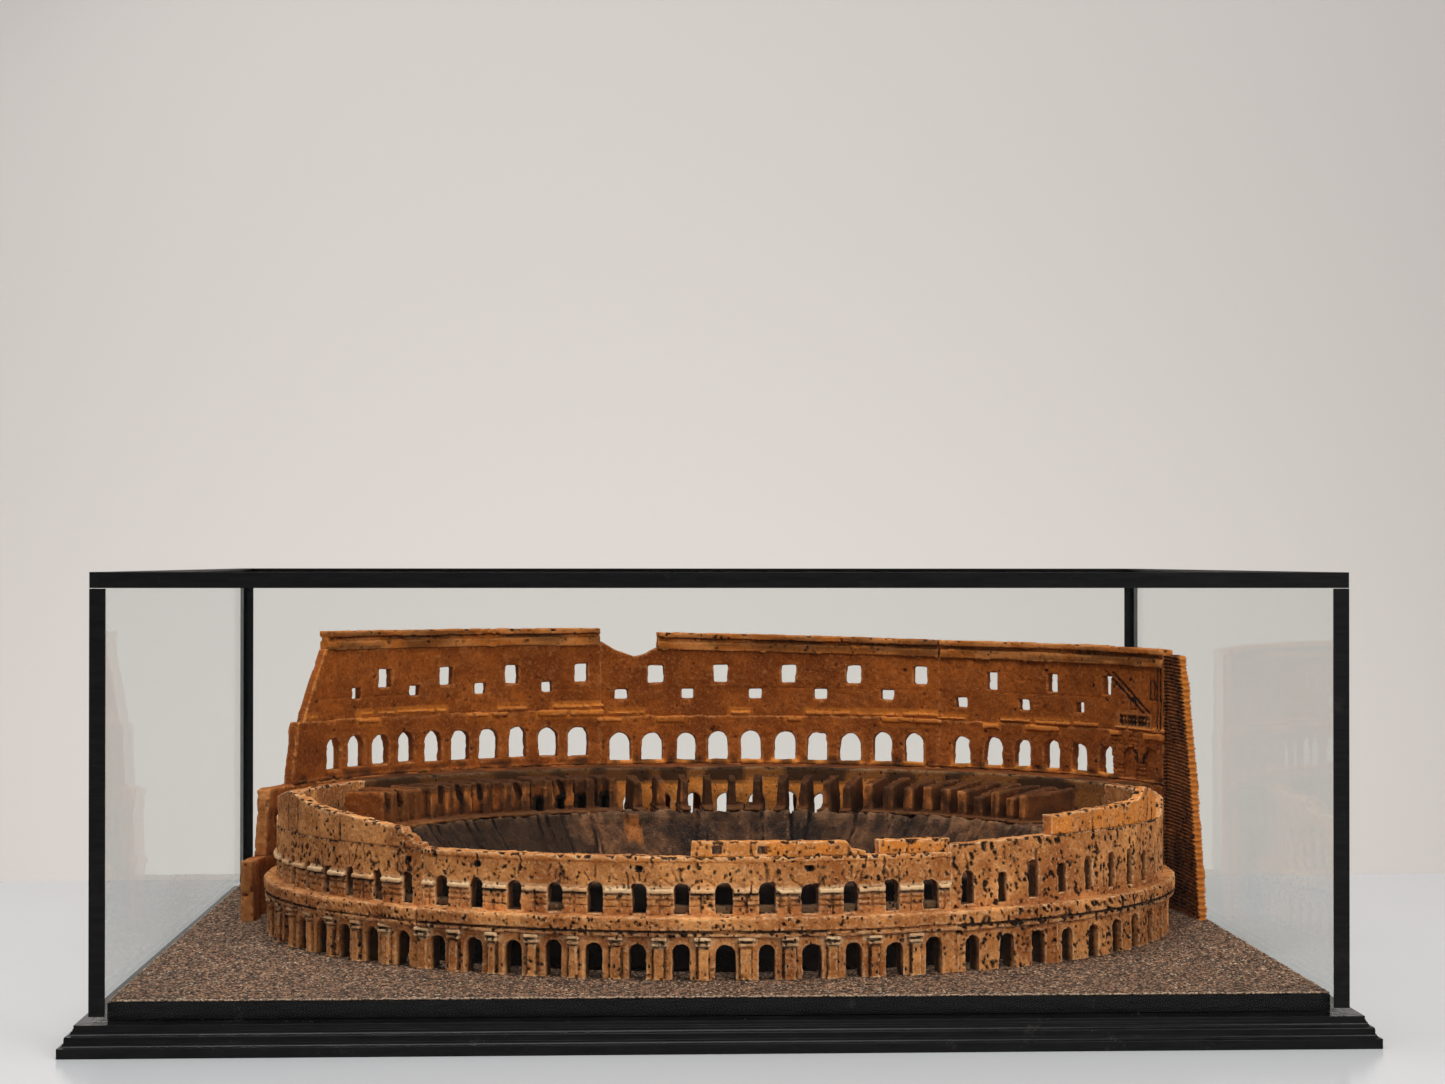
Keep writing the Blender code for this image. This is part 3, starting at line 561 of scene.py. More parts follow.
def cork(name, light, dark, dark_and_shade, pale, warm, grain=1.0, pores=1.0):
    """Bark cork: mottled and pored, with painted shade darkening its hollows, cuts and marked regions, and
    its raised edges painted pale, partly as wear and partly as a painted highlight.
    """
    n = Nodes(name)
    patches = n.ramp(n.noise(26.0, 4.0, 0.6), 0.38, 0.62)
    colour = n.mix(patches, light, dark)
    mottle = n.ramp(n.noise(210.0, 4.0, 0.7), 0.36, 0.64)
    colour = n.mix(n.times(mottle, 0.62), colour, dark)
    colour = n.mix(n.mark("warm"), colour, warm)
    colour = n.mix(n.mark("pale"), colour, pale)
    specks = n.ramp(n.noise(620.0, 2.0, 0.6), 0.54, 0.66)
    colour = n.mix(n.times(specks, 0.28 * grain), colour, pale)
    # Raised edges painted pale in broken patches: partly wear, partly a painted highlight of the light on
    # them
    edges = n.ramp(n.mark("relief"), 0.44, 0.27)
    wear_and_highlight = n.ramp(n.noise(260.0, 3.0, 0.6), 0.30, 0.62)
    colour = n.mix(n.times(n.times(edges, wear_and_highlight), 0.80), colour, pale)
    bits = n.ramp(n.noise(430.0, 3.0, 0.65), 0.60, 0.68)
    colour = n.mix(n.times(bits, 0.60 * grain), colour, dark_and_shade)
    pores_and_shade = n.ramp(n.cells(300.0, stretch=(1.0, 1.0, 0.6)), 0.24, 0.15)
    chosen = n.ramp(n.noise(60.0, 2.0, 0.5), 0.44, 0.56)
    pores_and_shade = n.times(n.times(pores_and_shade, chosen), pores)
    # Grooves, pits and doorways marked by the carving are painted near black: painted shade in the hollows,
    # and the dark of the pores themselves
    pores_and_shade = n.maths("MAXIMUM", pores_and_shade, n.ramp(n.mark("pore_dark_and_shade"), 0.18, 0.46))
    # Painted shade: the deeper a point lies in a hollow, the darker it is painted
    hollow_shade = n.ramp(n.mark("relief"), 0.57, 0.74)
    colour = n.mix(n.times(hollow_shade, 0.85), colour, dark_and_shade)
    # Regions marked for painted shade
    colour = n.mix(n.mark("painted_shade"), colour, dark_and_shade)
    colour = n.mix(n.times(pores_and_shade, 0.96), colour, PORE_AND_SHADE_BLACK)
    fine = n.noise(800.0, 4.0, 0.7)
    height = n.maths("SUBTRACT", fine, n.times(pores_and_shade, 1.5))
    normal = n.bump(height, 0.9, 0.0007 * grain)
    n.shader.inputs["Specular IOR Level"].default_value = 0.15
    return n.finish(colour, n.ramp(fine, 0.3, 0.7, 0.98, 0.80), normal)


def granulated_cork():
    """Loose cork granules glued to the board."""
    n = Nodes("granulated_cork")
    each = n.tree.nodes.new("ShaderNodeSeparateColor")
    n.link(n.cells(GRAINS_PER_METRE, "Color"), each.inputs["Color"])
    colour = n.mix(n.ramp(each.outputs["Red"], 0.22, 0.85), (0.024, 0.012, 0.006), (0.54, 0.285, 0.160))
    light = n.ramp(each.outputs["Green"], 0.91, 0.96)
    colour = n.mix(n.times(light, 0.85), colour, (0.80, 0.62, 0.45))
    patches = n.ramp(n.noise(30.0, 4.0, 0.6), 0.35, 0.65)
    colour = n.mix(n.times(patches, 0.35), colour, (0.100, 0.056, 0.036))
    colour = n.mix(n.mark("pale"), colour, (0.85, 0.60, 0.42))
    gaps = n.cells(GRAINS_PER_METRE)
    # Painted shade in the gaps between granules
    colour = n.mix(n.ramp(gaps, 0.42, 0.75, 0.0, 0.85), colour, (0.020, 0.011, 0.007))
    normal = n.bump(n.times(gaps, -1.0), 1.0, 0.0008)
    n.shader.inputs["Specular IOR Level"].default_value = 0.3
    return n.finish(colour, n.ramp(each.outputs["Blue"], 0.0, 1.0, 0.65, 0.95), normal)


def black_lacquer(name, roughness, wear):
    """Black lacquer over wood or tape: faint grain, dust and rubbed edges."""
    n = Nodes(name)
    grain = n.noise(60.0, 5.0, 0.6, stretch=(1.0, 1.0, 9.0))
    dust = n.ramp(n.noise(1500.0, 2.0, 0.8), 0.66, 0.80)
    scuffs = n.ramp(n.noise(45.0, 6.0, 0.75), 0.60, 0.74)
    colour = n.mix(n.ramp(grain, 0.35, 0.65), (0.0040, 0.0038, 0.0040), (0.0085, 0.0080, 0.0080))
    colour = n.mix(n.times(dust, 0.07), colour, (0.12, 0.11, 0.10))
    colour = n.mix(n.times(scuffs, wear), colour, (0.030, 0.026, 0.023))
    uneven = n.maths("ADD", n.noise(220.0, 3.0, 0.6), n.times(grain, 0.6))
    normal = n.bump(uneven, 0.22, 0.0004)
    n.shader.inputs["Specular IOR Level"].default_value = 0.13
    return n.finish(colour, n.ramp(scuffs, 0.0, 1.0, roughness, roughness + 0.25), normal)


def bare_timber():
    n = Nodes("plain_timber")
    rings = n.noise(14.0, 6.0, 0.6, stretch=(0.25, 3.0, 3.0), distortion=1.2)
    fibres = n.noise(420.0, 3.0, 0.6, stretch=(0.05, 1.0, 1.0))
    colour = n.mix(n.ramp(rings, 0.35, 0.65), (0.42, 0.27, 0.14), (0.25, 0.14, 0.065))
    colour = n.mix(n.ramp(fibres, 0.55, 0.7, 0.0, 0.5), colour, (0.14, 0.075, 0.035))
    return n.finish(colour, n.ramp(fibres, 0.3, 0.7, 0.55, 0.75), n.bump(fibres, 0.4, 0.0003))


def zinc_steel():
    n = Nodes("screw_steel")
    n.shader.inputs["Metallic"].default_value = 1.0
    blotches = n.noise(700.0, 4.0, 0.6)
    colour = n.mix(n.ramp(blotches, 0.4, 0.6), (0.62, 0.61, 0.57), (0.38, 0.37, 0.33))
    return n.finish(colour, n.ramp(blotches, 0.3, 0.7, 0.28, 0.5), n.bump(blotches, 0.2, 0.0001))


def pane_glass():
    """A thin clear pane: what is behind shows through, and both faces mirror more at a grazing angle."""
    n = Nodes("clear_glass")
    tree = n.tree
    clear = tree.nodes.new("ShaderNodeBsdfTransparent")
    clear.inputs["Color"].default_value = (0.960, 0.968, 0.964, 1.0)
    mirror = tree.nodes.new("ShaderNodeBsdfGlossy")
    mirror.inputs["Roughness"].default_value = 0.0
    mirror.inputs["Color"].default_value = (0.9, 0.93, 0.95, 1.0)
    facing = tree.nodes.new("ShaderNodeLayerWeight")
    facing.inputs["Blend"].default_value = 0.5
    rise = n.maths("POWER", facing.outputs["Facing"], 4.0)
    share = n.maths("ADD", n.times(rise, 0.30), 0.003)
    smears = n.ramp(n.noise(9.0, 5.0, 0.7), 0.45, 0.75, 1.0, 1.3)
    mixer = tree.nodes.new("ShaderNodeMixShader")
    n.link(n.times(share, smears), mixer.inputs[0])
    n.link(clear.outputs[0], mixer.inputs[1])
    n.link(mirror.outputs[0], mixer.inputs[2])
    n.link(mixer.outputs[0], tree.nodes["Material Output"].inputs["Surface"])
    tree.nodes.remove(n.shader)
    return n.material


# Pale, warm and dark cork; the pale also paints highlights on edges and capitals, and the dark also paints
# shade as well as dark specks
PALE_AND_HIGHLIGHT, WARM, DARK_AND_SHADE = (1.00, 0.68, 0.39), (0.78, 0.240, 0.030), (0.020, 0.009, 0.004)
LOOKS = {
    "carved_cork": cork("carved_cork", (0.95, 0.400, 0.122), (0.38, 0.115, 0.024), DARK_AND_SHADE, PALE_AND_HIGHLIGHT, WARM),
    "aged_cork": cork(
        "aged_cork", (0.43, 0.108, 0.013), (0.19, 0.041, 0.004), DARK_AND_SHADE, (0.66, 0.27, 0.085), WARM, 0.8, 0.35
    ),
    "sooty_cork": cork(
        "sooty_cork", (0.200, 0.080, 0.032), (0.027, 0.014, 0.009), (0.006, 0.004, 0.003),
        (0.34, 0.17, 0.085), (0.48, 0.15, 0.03), 0.9, 0.6
    ),
    "brick_cork": cork(
        "brick_cork", (0.24, 0.062, 0.011), (0.10, 0.024, 0.004), DARK_AND_SHADE, (0.62, 0.24, 0.06), WARM, 0.6, 0.1
    ),
    "granulated_cork": granulated_cork(),
    "ebonised_wood": black_lacquer("ebonised_wood", 0.20, 0.5),
    "black_strip": black_lacquer("black_strip", 0.34, 0.35),
    "plain_timber": bare_timber(),
    "screw_steel": zinc_steel(),
    "clear_glass": pane_glass(),
}


# ---- Pieces


def linked(name, data):
    made = bpy.data.objects.new(name, data)
    bpy.context.scene.collection.objects.link(made)
    return made


def stand_for(mesh, node):
    """A piece that rides with, and takes the finish of, the node it stands for."""
    piece = linked(node + "_carved", mesh)
    piece.data.materials.clear()
    piece.data.materials.append(LOOKS[SLOT_OF[node]])
    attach(piece, BODY_OF[node])
    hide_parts(node)
    return piece


def ring_bays(section):
    start, end = RING_ANGLES[section]
    count = round((RING.length_at(end) - RING.length_at(start)) / RING_PITCH)
    return RING.bays(start, end, count)


def ring_carving(section, low, high, front, back, seed):
    start, end = (RING.length_at(angle) for angle in RING_ANGLES[section])
    cell = CELL["ring_north" if section == "north" else "ring"]
    return Carving(RING, (start + 0.1, low, front), (end - 0.1, high, back), cell, seed)


# ---- Inner ring


def pilaster(work, middle):
    """A shaft on a low base, with a bell and an abacus for a capital."""
    rng = work.random
    half = rng.uniform(2.3, 3.0)
    lean = work.wobble(0.35)
    bell = half + rng.uniform(0.3, 0.8)
    slab = bell + rng.uniform(0.5, 1.0)
    work.add_brick((middle - half + lean, 0.2, 1.5), (middle + half + lean, SHAFT_TOP, 5.0), 0.4)
    for reach, low, high, front, rounding in (
        (half + 0.5, 0.2, 1.9, 1.1, 0.4),
        (bell, 17.4, 20.6, 1.0, 0.9),
        (slab, 20.2, LOWER_TOP, 0.5, 0.5),
        (bell + 0.5, 17.9, 19.4, 0.6, 0.4),
    ):
        work.add_brick((middle - reach, low, front), (middle + reach, high, 5.0), rounding)
    # The grooves under the abacus and at the shaft's top are painted dark as their shade
    work.cut_stroke((middle - slab, 19.9), (middle + slab, 19.8), 0.40, 1.0, 0.7)
    work.cut_stroke((middle - half, SHAFT_TOP), (middle + half, SHAFT_TOP), 0.42, 1.2, 0.8)
    for side in (-1, 1):
        # Dark pits at the bell's ends, and a dark groove down each side of the shaft, painted as shade
        if rng.random() < 0.7:
            work.cut_pit((middle + side * (bell - 1.1), 18.9, 1.0), (0.55, 0.6, 0.7), 0.0, 0.9)
        edge = middle + lean + side * (half + 0.3)
        work.cut_stroke((edge, 1.0), (edge, 16.8), 0.34, LOWER_FACE, 0.5, 1, 0.6)
    # Pale capitals: paler cork, brightened further as a painted highlight where the light catches them
    work.paint("pale", (middle - 4.9, 20.4, 0.0), (middle + 4.9, 22.4, 3.0), rng.uniform(0.1, 0.95))
    if rng.random() < 0.7:
        work.paint("pale", (middle - 4.2, 17.8, 0.0), (middle + 4.2, 19.5, 2.4), rng.uniform(0.2, 0.9))


def lower_arcade(section, seed):
    work = ring_carving(section, 0.0, LOWER_TOP, 0.4, LOWER_BACK, seed)
    work.wall(LOWER_FACE, LOWER_BACK, 0.0, LOWER_TOP)
    rng = work.random
    start, end = work.axes[0][0], work.axes[0][-1]
    # Painted shade inside the arches and on the wall behind them
    work.paint("painted_shade", (start, -2.0, 7.5), (end, 19.5, RING_BEHIND), 0.9)
    for number, (a, b) in enumerate(ring_bays(section)):
        middle = (a + b) / 2 + work.wobble(0.7)
        width = rng.uniform(8.6, 10.6) if section != "east" else rng.uniform(7.4, 10.0)
        crown = rng.uniform(18.0, 19.6)
        if section != "north":
            work.cut_arch(middle, -2.0, crown, width)
            work.cut_pit((middle + work.wobble(3), crown - 2.5, 5.0), (2.0, 2.0, 6.0), 0.0, 0.0)
        if section == "east":
            strip = a + rng.uniform(1.0, 2.5)
            if number % 3 == 0:
                work.add_brick((strip, 0.2, 2.6), (strip + 1.8, 21.0, 5.0), 0.4)
            continue
        pilaster(work, a + (0.0 if number else 3.0))
    work.weather()
    small = (start, 0.0), (end, LOWER_TOP)
    many = round((end - start) * (1.5 if section == "east" else 0.65))
    if section == "east":
        work.pores(many, *small, (LOWER_FACE,), (0.5, 1.9), (0.36, 0.62), SLANTED)
    else:
        work.pores(many, *small, (LOWER_FACE, LOWER_FACE, 1.5))
    work.show(f"lower_arcade_{section}")


def belt_course(section, seed):
    work = ring_carving(section, BELT_LOW, BELT_TOP, 0.0, BELT_BACK, seed)
    start, end = work.axes[0][0] + 3 * work.voxel, work.axes[0][-1] - 3 * work.voxel
    work.add_brick((start, BELT_LOW, 0.0), (end, BELT_TOP, BELT_BACK), 2.0)
    work.add_brick((start, BELT_LOW, 0.3), (end, BELT_LOW + 4.0, 8.0), 0.5)
    # A groove under the lip, painted dark as its shadow
    work.cut_stroke((start, BELT_LOW + 2.6), (end, BELT_LOW + 2.9), 0.42, 0.5, 0.6)
    work.weather(0.45, 0.26)
    count = round((end - start) / 3)
    lean, long, many = (0.0, math.pi), (0.45, 1.1), round(1.4 * count)
    if section == "east":
        lean, long, many = SLANTED, (0.5, 1.8), 3 * count
    work.pores(many, (start, BELT_LOW + 1), (end, BELT_TOP - 1), (0.2,), long, (0.36, 0.6), lean)
    for level, front, back, most in ((BELT_LOW, 0.3, 0.6, 1.3), (BELT_TOP, 0.6, 4.0, 1.2)):
        work.nibble(round(count / 3), ((start, end), (level, level)), front, back, (0.5, most))
    work.show(f"belt_course_{section}")


def impost_and_joints(work, low, high, bold):
    """On one pier: a pale impost bar, with two courses of blocks scribed under it."""
    rng = work.random
    foot, deep = IMPOST + work.wobble(0.4), 1.9 if bold else 1.3
    work.add_brick((low + 0.3, foot, UPPER_FACE - deep), (high - 0.3, foot + 2.3, UPPER_FACE + 1.0), 0.6)
    work.paint("pale", (low, foot + 0.2, 0.0), (high, foot + 2.4, UPPER_FACE - 0.2), rng.uniform(0.2, 0.95))
    middle = (low + high) / 2 + work.wobble(0.8)
    work.cut_stroke((middle, 34.0), (middle + work.wobble(0.3), foot), 0.36, UPPER_FACE, 0.9, 1, 0.55)
    for height in COURSES:
        level = height + work.wobble(0.4)
        work.cut_stroke((low, level), (high, level + work.wobble(0.4)), 0.34, UPPER_FACE, 0.8, 1, 0.5)
    # A groove under the impost bar, painted dark as its shadow
    work.cut_stroke((low, foot - 0.5), (high, foot - 0.5), 0.42, UPPER_FACE, 1.0, 1, 0.8)


def fan_joints(work, middle, crown):
    """Scribed joints that fan out over an arch."""
    rng = work.random
    for degrees in (35, 62, 90, 118, 145):
        if rng.random() < 0.35:
            continue
        turn = math.radians(degrees + work.wobble(6))
        near, far = 5.6, rng.uniform(9.0, 13.0)
        spring = crown - 4.2
        start = (middle + near * math.cos(turn), spring + near * math.sin(turn))
        end = (middle + far * math.cos(turn), min(spring + far * math.sin(turn), LEDGE_LOW - 1))
        work.cut_stroke(start, end, 0.34, UPPER_FACE, 0.8, 1, 0.5)


def upper_opening(section, rng):
    """(sill, crown, width) of one opening of the second storey."""
    if section == "south":
        return 33.6, rng.uniform(48.8, 50.2), rng.uniform(7.6, 9.4)
    if section == "west":
        return 33.6, rng.uniform(48.6, 50.4), rng.uniform(6.2, 7.6)
    if section == "north":
        return 40.0, rng.uniform(59.5, 61.0), rng.uniform(10.0, 11.5)
    return rng.uniform(34.6, 37.0), rng.uniform(51.0, 56.0), rng.uniform(5.8, 8.0)


def upper_arcade(section, seed):
    top = RING.line(UPPER_TOPS[section])
    work = ring_carving(section, BELT_TOP, 77.5, UPPER_FACE - 2.2, UPPER_BACK, seed)
    work.wall(UPPER_FACE, UPPER_BACK, BELT_TOP - 0.2, top)
    rng = work.random
    bays, previous = ring_bays(section), None
    start, end = bays[0][0], bays[-1][1]
    if section == "south":
        work.add_brick((start, LEDGE_LOW, UPPER_FACE - 0.9), (end, LEDGE_TOP, UPPER_BACK), 0.4)
        work.paint("warm", (start, LEDGE_LOW, 0.0), (end, LEDGE_TOP + 0.4, UPPER_FACE), 0.35)
    # Painted shade inside the openings and on the face behind; on the north, painted shade on the east part
    # of the inner face and along the top
    if section != "north":
        work.paint("painted_shade", (start, BELT_TOP, 10.5), (end, 51.0, RING_BEHIND), 0.8)
    else:
        east, west = (RING.length_at(angle) for angle in NORTH_SHADE)
        for paint, near, foot, inset, far, value in (
            ("warm", start, BELT_TOP, 12.0, end, 0.85),
            ("painted_shade", start, BELT_TOP, 12.0, east, 0.6),
            ("painted_shade", start, 72.0, 0.0, end, 0.7),
            ("painted_shade", west, 70.0, 0.0, end, 0.85),
        ):
            work.paint(paint, (near, foot, inset), (far, RING_ABOVE, RING_BEHIND), value)
    for number, (a, b) in enumerate(bays):
        middle = (a + b) / 2 + work.wobble(0.6)
        sill, crown, width = upper_opening(section, rng)
        work.cut_arch(middle, sill, crown, width)
        if section in ("south", "west"):
            low = previous or a - 1
            impost_and_joints(work, low, middle - width / 2, section == "west")
            fan_joints(work, middle, crown)
            work.cut_pit((middle + work.wobble(3), crown - 1.5, 9.0), (2.0, 1.6, 5.0), 0.0, 0.0)
            if number % 4 == 1:
                work.cut_pit((middle + work.wobble(1), 56.8, UPPER_FACE), (2.0, 1.5, 3.5))
            if number > 6 or number % 3 == 0:
                left, right = middle - width / 2 - 1, middle + width / 2 + 1
                work.add_brick((left, 33.2, 10.0), (right, 37.6, 15.0), 0.5)
                work.paint("pale", (middle - 3.5, 35.0, 9.0), (middle + 3.5, 38.0, 12.0), 0.4)
        elif section == "east" and rng.random() < 0.5:
            level = crown + rng.uniform(-3, 4)
            work.cut_stroke((middle + width / 2, level), (b, level + work.wobble(1)), 0.28, UPPER_FACE, 0.8)
        previous = middle + width / 2
    if section == "south":
        impost_and_joints(work, previous, end, False)
    work.weather()
    length = end - start
    low, high = (start, BELT_TOP), (end, 66.0)
    if section == "east":
        work.pores(round(length * 1.6), low, (end, 70.0), (UPPER_FACE,), (0.6, 2.0), (0.40, 0.72), SLANTED)
        work.pores(60, low, (end, 68.0), (UPPER_FACE,), (1.6, 3.0), (0.65, 1.05), (1.7, 2.3))
    else:
        work.pores(round(length * 1.25), low, high, (UPPER_FACE,), (0.45, 1.15), (0.34, 0.56))
        work.pores(round(length * 0.4), low, high, (UPPER_BACK,), (0.6, 1.8))
    work.cracks(16, (start, 36.0), (end, 62.0), UPPER_FACE)
    if section == "west":
        work.pores(110, (start, 48.0), (end, 60.0), (UPPER_FACE,), (0.9, 2.2), (0.34, 0.5), (1.3, 1.9))
    work.nibble(round(length / 3), top, UPPER_FACE, UPPER_BACK)
    if section == "north":
        # Painted shade in patches along the top of the north section
        work.stain("painted_shade", (start, 69.0, 0.0), (end, RING_ABOVE, RING_BEHIND), 0.95, 14.0)
    work.show(f"upper_arcade_{section}")


def attic_block(node, seed):
    """A length of the ring's attic that still stands."""
    foot, points = BLOCKS[node]
    top = RING.line(points)
    start, end = top[0][0], top[0][-1]
    crown = max(top[1])
    work = Carving(RING, (start, foot - 1.6, UPPER_FACE - 1.1), (end, crown, 13.6), CELL["ring"], seed)
    work.wall(UPPER_FACE - 0.5, 13.4, foot - 0.4, top)
    if node != "attic_block_west":
        work.paint("warm", (start - 1, foot, 0.0), (end + 1, crown + 1, 9.0), 0.45)
        work.stain("warm", (start - 1, foot, 0.0), (end + 1, crown + 1, 9.0), 0.95, 7.0)
    if node == "attic_block_long":
        for middle in (start + 13.0, start + 37.0):
            work.cut_brick((middle - 2.5, 64.4, 0.0), (middle + 2.5, 68.6, 20.0))
    for _ in range(4 if node != "attic_block_short" else 1):
        at = work.random.uniform(start + 5, end - 5)
        work.cut_stroke((at, foot), (at + work.wobble(1), crown), 0.30, UPPER_FACE - 0.5, 0.9)
    for at in np.arange(start, end, 5.0).tolist():
        work.cut_stroke((at, foot - 0.7), (at + 5.0, foot - 0.7), 0.40, UPPER_FACE - 0.5, 0.7, 1, 0.7)
    work.weather(0.30, 0.22)
    work.pores(round((end - start) / 1.2), (start, foot), (end, crown), (UPPER_FACE - 0.5, 13.4))
    work.nibble(round((end - start) / 3), top, UPPER_FACE, 13.4)
    work.show(node)


def make_ring():
    for seed, section in enumerate(SECTIONS):
        lower_arcade(section, 100 + seed)
        belt_course(section, 200 + seed)
        upper_arcade(section, 300 + seed)
    for seed, node in enumerate(BLOCKS):
        attic_block(node, 400 + seed)


# ---- Tall outer wall


def slant(work, low, high, foot, top):
    """Breaks the far end of a wall off along a sloping line, given as angles at its foot and top."""
    near, far = OUTER.length_at(low), OUTER.length_at(high)

    def shape(s, z, d):
        edge = near + (far - near) * np.clip((z - foot) / (top - foot), 0.0, 1.0)
        return edge - s + 0 * d

    work.cut((min(near, far) - 6, foot - 5, -9), (work.axes[0][-1], top + 20, 20), shape)


def outer_relief(work, bays, low, high):
    """Outer face of one storey: a flat half column between bays, and a ledge under the next storey."""
    start, end = bays[0][0], bays[-1][1]
    for a, _ in bays:
        work.add_brick((a - 1.6, low, -1.3), (a + 1.6, high - 4.0, 2.0), 0.6)
        work.add_brick((a - 2.3, high - 6.0, -1.6), (a + 2.3, high - 4.0, 2.0), 0.5)
    work.add_brick((start - 3, high - 3.6, -1.8), (end + 3, high - 0.4, 3.0), 0.6)


def outer_carving(panel, low, high, seed, end=None):
    start, stop = PANEL_ANGLES[panel][0], end or PANEL_ANGLES[panel][1]
    limits = OUTER.length_at(start), OUTER.length_at(stop)
    cell = CELL["wall_low" if low < SECOND_TOP else "wall_east" if panel == "east" else "wall"]
    return Carving(OUTER, (limits[0], low, -2.0), (limits[1], high, OUTER_BACK + 1.6), cell, seed)


def outer_bays(panel, end=None, table=BAYS):
    first, last, count = table[panel]
    bays = OUTER.bays(first, last, count)
    pitch = bays[0][1] - bays[0][0]
    while end and OUTER.length_at(end) - bays[-1][1] > pitch:
        bays.append((bays[-1][1], bays[-1][1] + pitch))
    return bays


def outer_lower(node, panel, storeys, seed, end=None):
    """One or both of the two lowest storeys of a panel."""
    low, high = storeys[0][0], storeys[-1][1]
    work = outer_carving(panel, low, high, seed, end)
    work.wall(0.0, OUTER_BACK, low, high)
    bays = outer_bays(panel, end)
    for foot, head in storeys:
        outer_relief(work, bays, foot, head)
        for a, b in bays:
            middle = (a + b) / 2 + work.wobble(0.4)
            work.cut_arch(middle, *((-2.0, 25.0) if foot < 1.0 else (41.0, 61.0)), 12.0)
    start, stop = work.axes[0][0], work.axes[0][-1]
    if end:
        slant(work, *WEST_ENDS["first" if low < 1.0 else "second"], low, high)
        work.paint("pale", (stop - 16.0, low - 2, -2.0), (stop + 2, high + 2, 12.0), 0.30)
        work.stain("pale", (stop - 9.0, low - 2, -2.0), (stop + 2, high + 2, 12.0), 0.65, 4.0)
        work.pores(60, (stop - 16.0, low), (stop, high), (OUTER_BACK, 3.0), (0.8, 1.8), (0.6, 0.9))
    work.weather(0.4, 0.25)
    many = round((stop - start) * 0.4)
    work.pores(many, (start, low), (stop, high), (0.0, OUTER_BACK), (1.0, 2.4), (0.6, 1.0))
    work.nibble(12, ((start, stop), (high, high)), 0.0, OUTER_BACK)
    work.show(node)


def third_storey(panel, seed):
    low, high = SECOND_TOP + 0.3, THIRD_TOP[panel]
    end = WEST_ENDS["third"][0] if panel == "west" else None
    work = outer_carving(panel, low, high, seed, end)
    work.wall(0.2, THIRD_BACK, low, high)
    rng = work.random
    bays = outer_bays(panel)
    outer_relief(work, bays, low, high)
    sill, crown, width = THIRD_ARCH[panel]
    for number, (a, b) in enumerate(bays, 1):
        middle = (a + b) / 2 + work.wobble(0.5)
        if number <= BLIND_BAYS[panel]:
            hollow = blind_arch(middle, sill, crown, width)
            work.cut((middle - 6, sill, 4.9), (middle + 6, crown, 12.0), hollow)
            continue
        wide = width + rng.uniform(-1.5, 1.2)
        work.cut_arch(middle, sill + rng.uniform(-0.5, 0.8), crown + work.wobble(0.8), wide)
        work.cut_pit((middle + work.wobble(4), crown - 3.0, 3.5), (3.0, 2.6, 9.0), 0.0, 0.0)
        if panel != "west":
            edges = middle - wide / 2, middle + wide / 2
            work.add_brick((edges[0], sill - 1.8, 3.0), (edges[1], sill + 1.2, THIRD_BACK + 1.4), 0.4)
            work.paint("warm", (edges[0], sill - 1.6, 4.0), (edges[1], sill + 1.5, 12.0), 1.0)
    start, stop = work.axes[0][0], work.axes[0][-1]
    work.add_brick((start, low, THIRD_BACK - 1), (stop, low + 1.2, THIRD_BACK + 1.0), 0.5)
    # Painted shade in patches along the foot of the inner face
    work.stain("painted_shade", (start, low, THIRD_BACK - 1), (stop, low + 3.0, 12.0), 0.8, 8.0)
    broken_ledge(work, start, stop, high - 4.5, high, THIRD_BACK, 0.5)
    if panel == "east":
        worked_surface(work)
    if panel == "west":
        slant(work, *WEST_ENDS["third"], low, high)
    work.weather(0.4, 0.28)
    many = round((stop - start) * 0.35)
    work.pores(many, (start, low), (stop, high), (0.2, THIRD_BACK), (0.8, 2.0), (0.5, 0.9))
    work.show(f"third_storey_{panel}")


def blind_arch(middle, sill, crown, width):
    through = arch(middle, sill, crown, width)
    return lambda s, z, d: np.maximum(through(s, z, d), (THIRD_BACK - 1.6) - d)


def broken_ledge(work, start, stop, low, high, face, share):
    """A ledge that survives in uneven lengths along the inner face."""
    rng, at = work.random, start
    while at < stop:
        length = rng.uniform(8.0, 34.0)
        until = min(at + length, stop)
        if rng.random() < share:
            drop = rng.uniform(0.0, 1.4)
            head = high - rng.uniform(0.2, 1.4)
            work.add_brick((at, low + drop, face - 1.0), (until, head, face + 1.5), 0.6)
            work.paint("warm", (at, low + drop, face), (until, high, face + 4), rng.uniform(0.25, 0.65))
        at = until + rng.uniform(0.0, 5.0)


def worked_surface(work):
    """Inner face by the buttress: uneven tooled courses, with rings scribed round two blind arches."""
    rng, at = work.random, OUTER.length_at
    for height in np.arange(80.0, 106.0, 2.6).tolist():
        for near in np.arange(at(14.6), at(26.0), 6.0).tolist():
            if rng.random() < 0.7:
                level = height + work.wobble(0.5)
                far = near + rng.uniform(3.5, 6.0)
                end = far, level + work.wobble(0.6)
                work.cut_stroke((near, level), end, 0.38, THIRD_BACK, 0.6, -1, 0.5)
    for middle in (at(17.2), at(22.0)):
        for radius in (4.6, 7.2):
            spots = [
                (middle + radius * math.cos(turn), 89.0 + radius * math.sin(turn))
                for turn in np.linspace(-0.2, math.pi + 0.2, 10).tolist()
            ]
            scribe(work, spots, THIRD_BACK)


def scribe(work, spots, face):
    """A line scribed on an inner face through all of these spots."""
    for here, there in zip(spots, spots[1:]):
        work.cut_stroke(here, there, 0.40, face, 0.8, -1, 0.8)


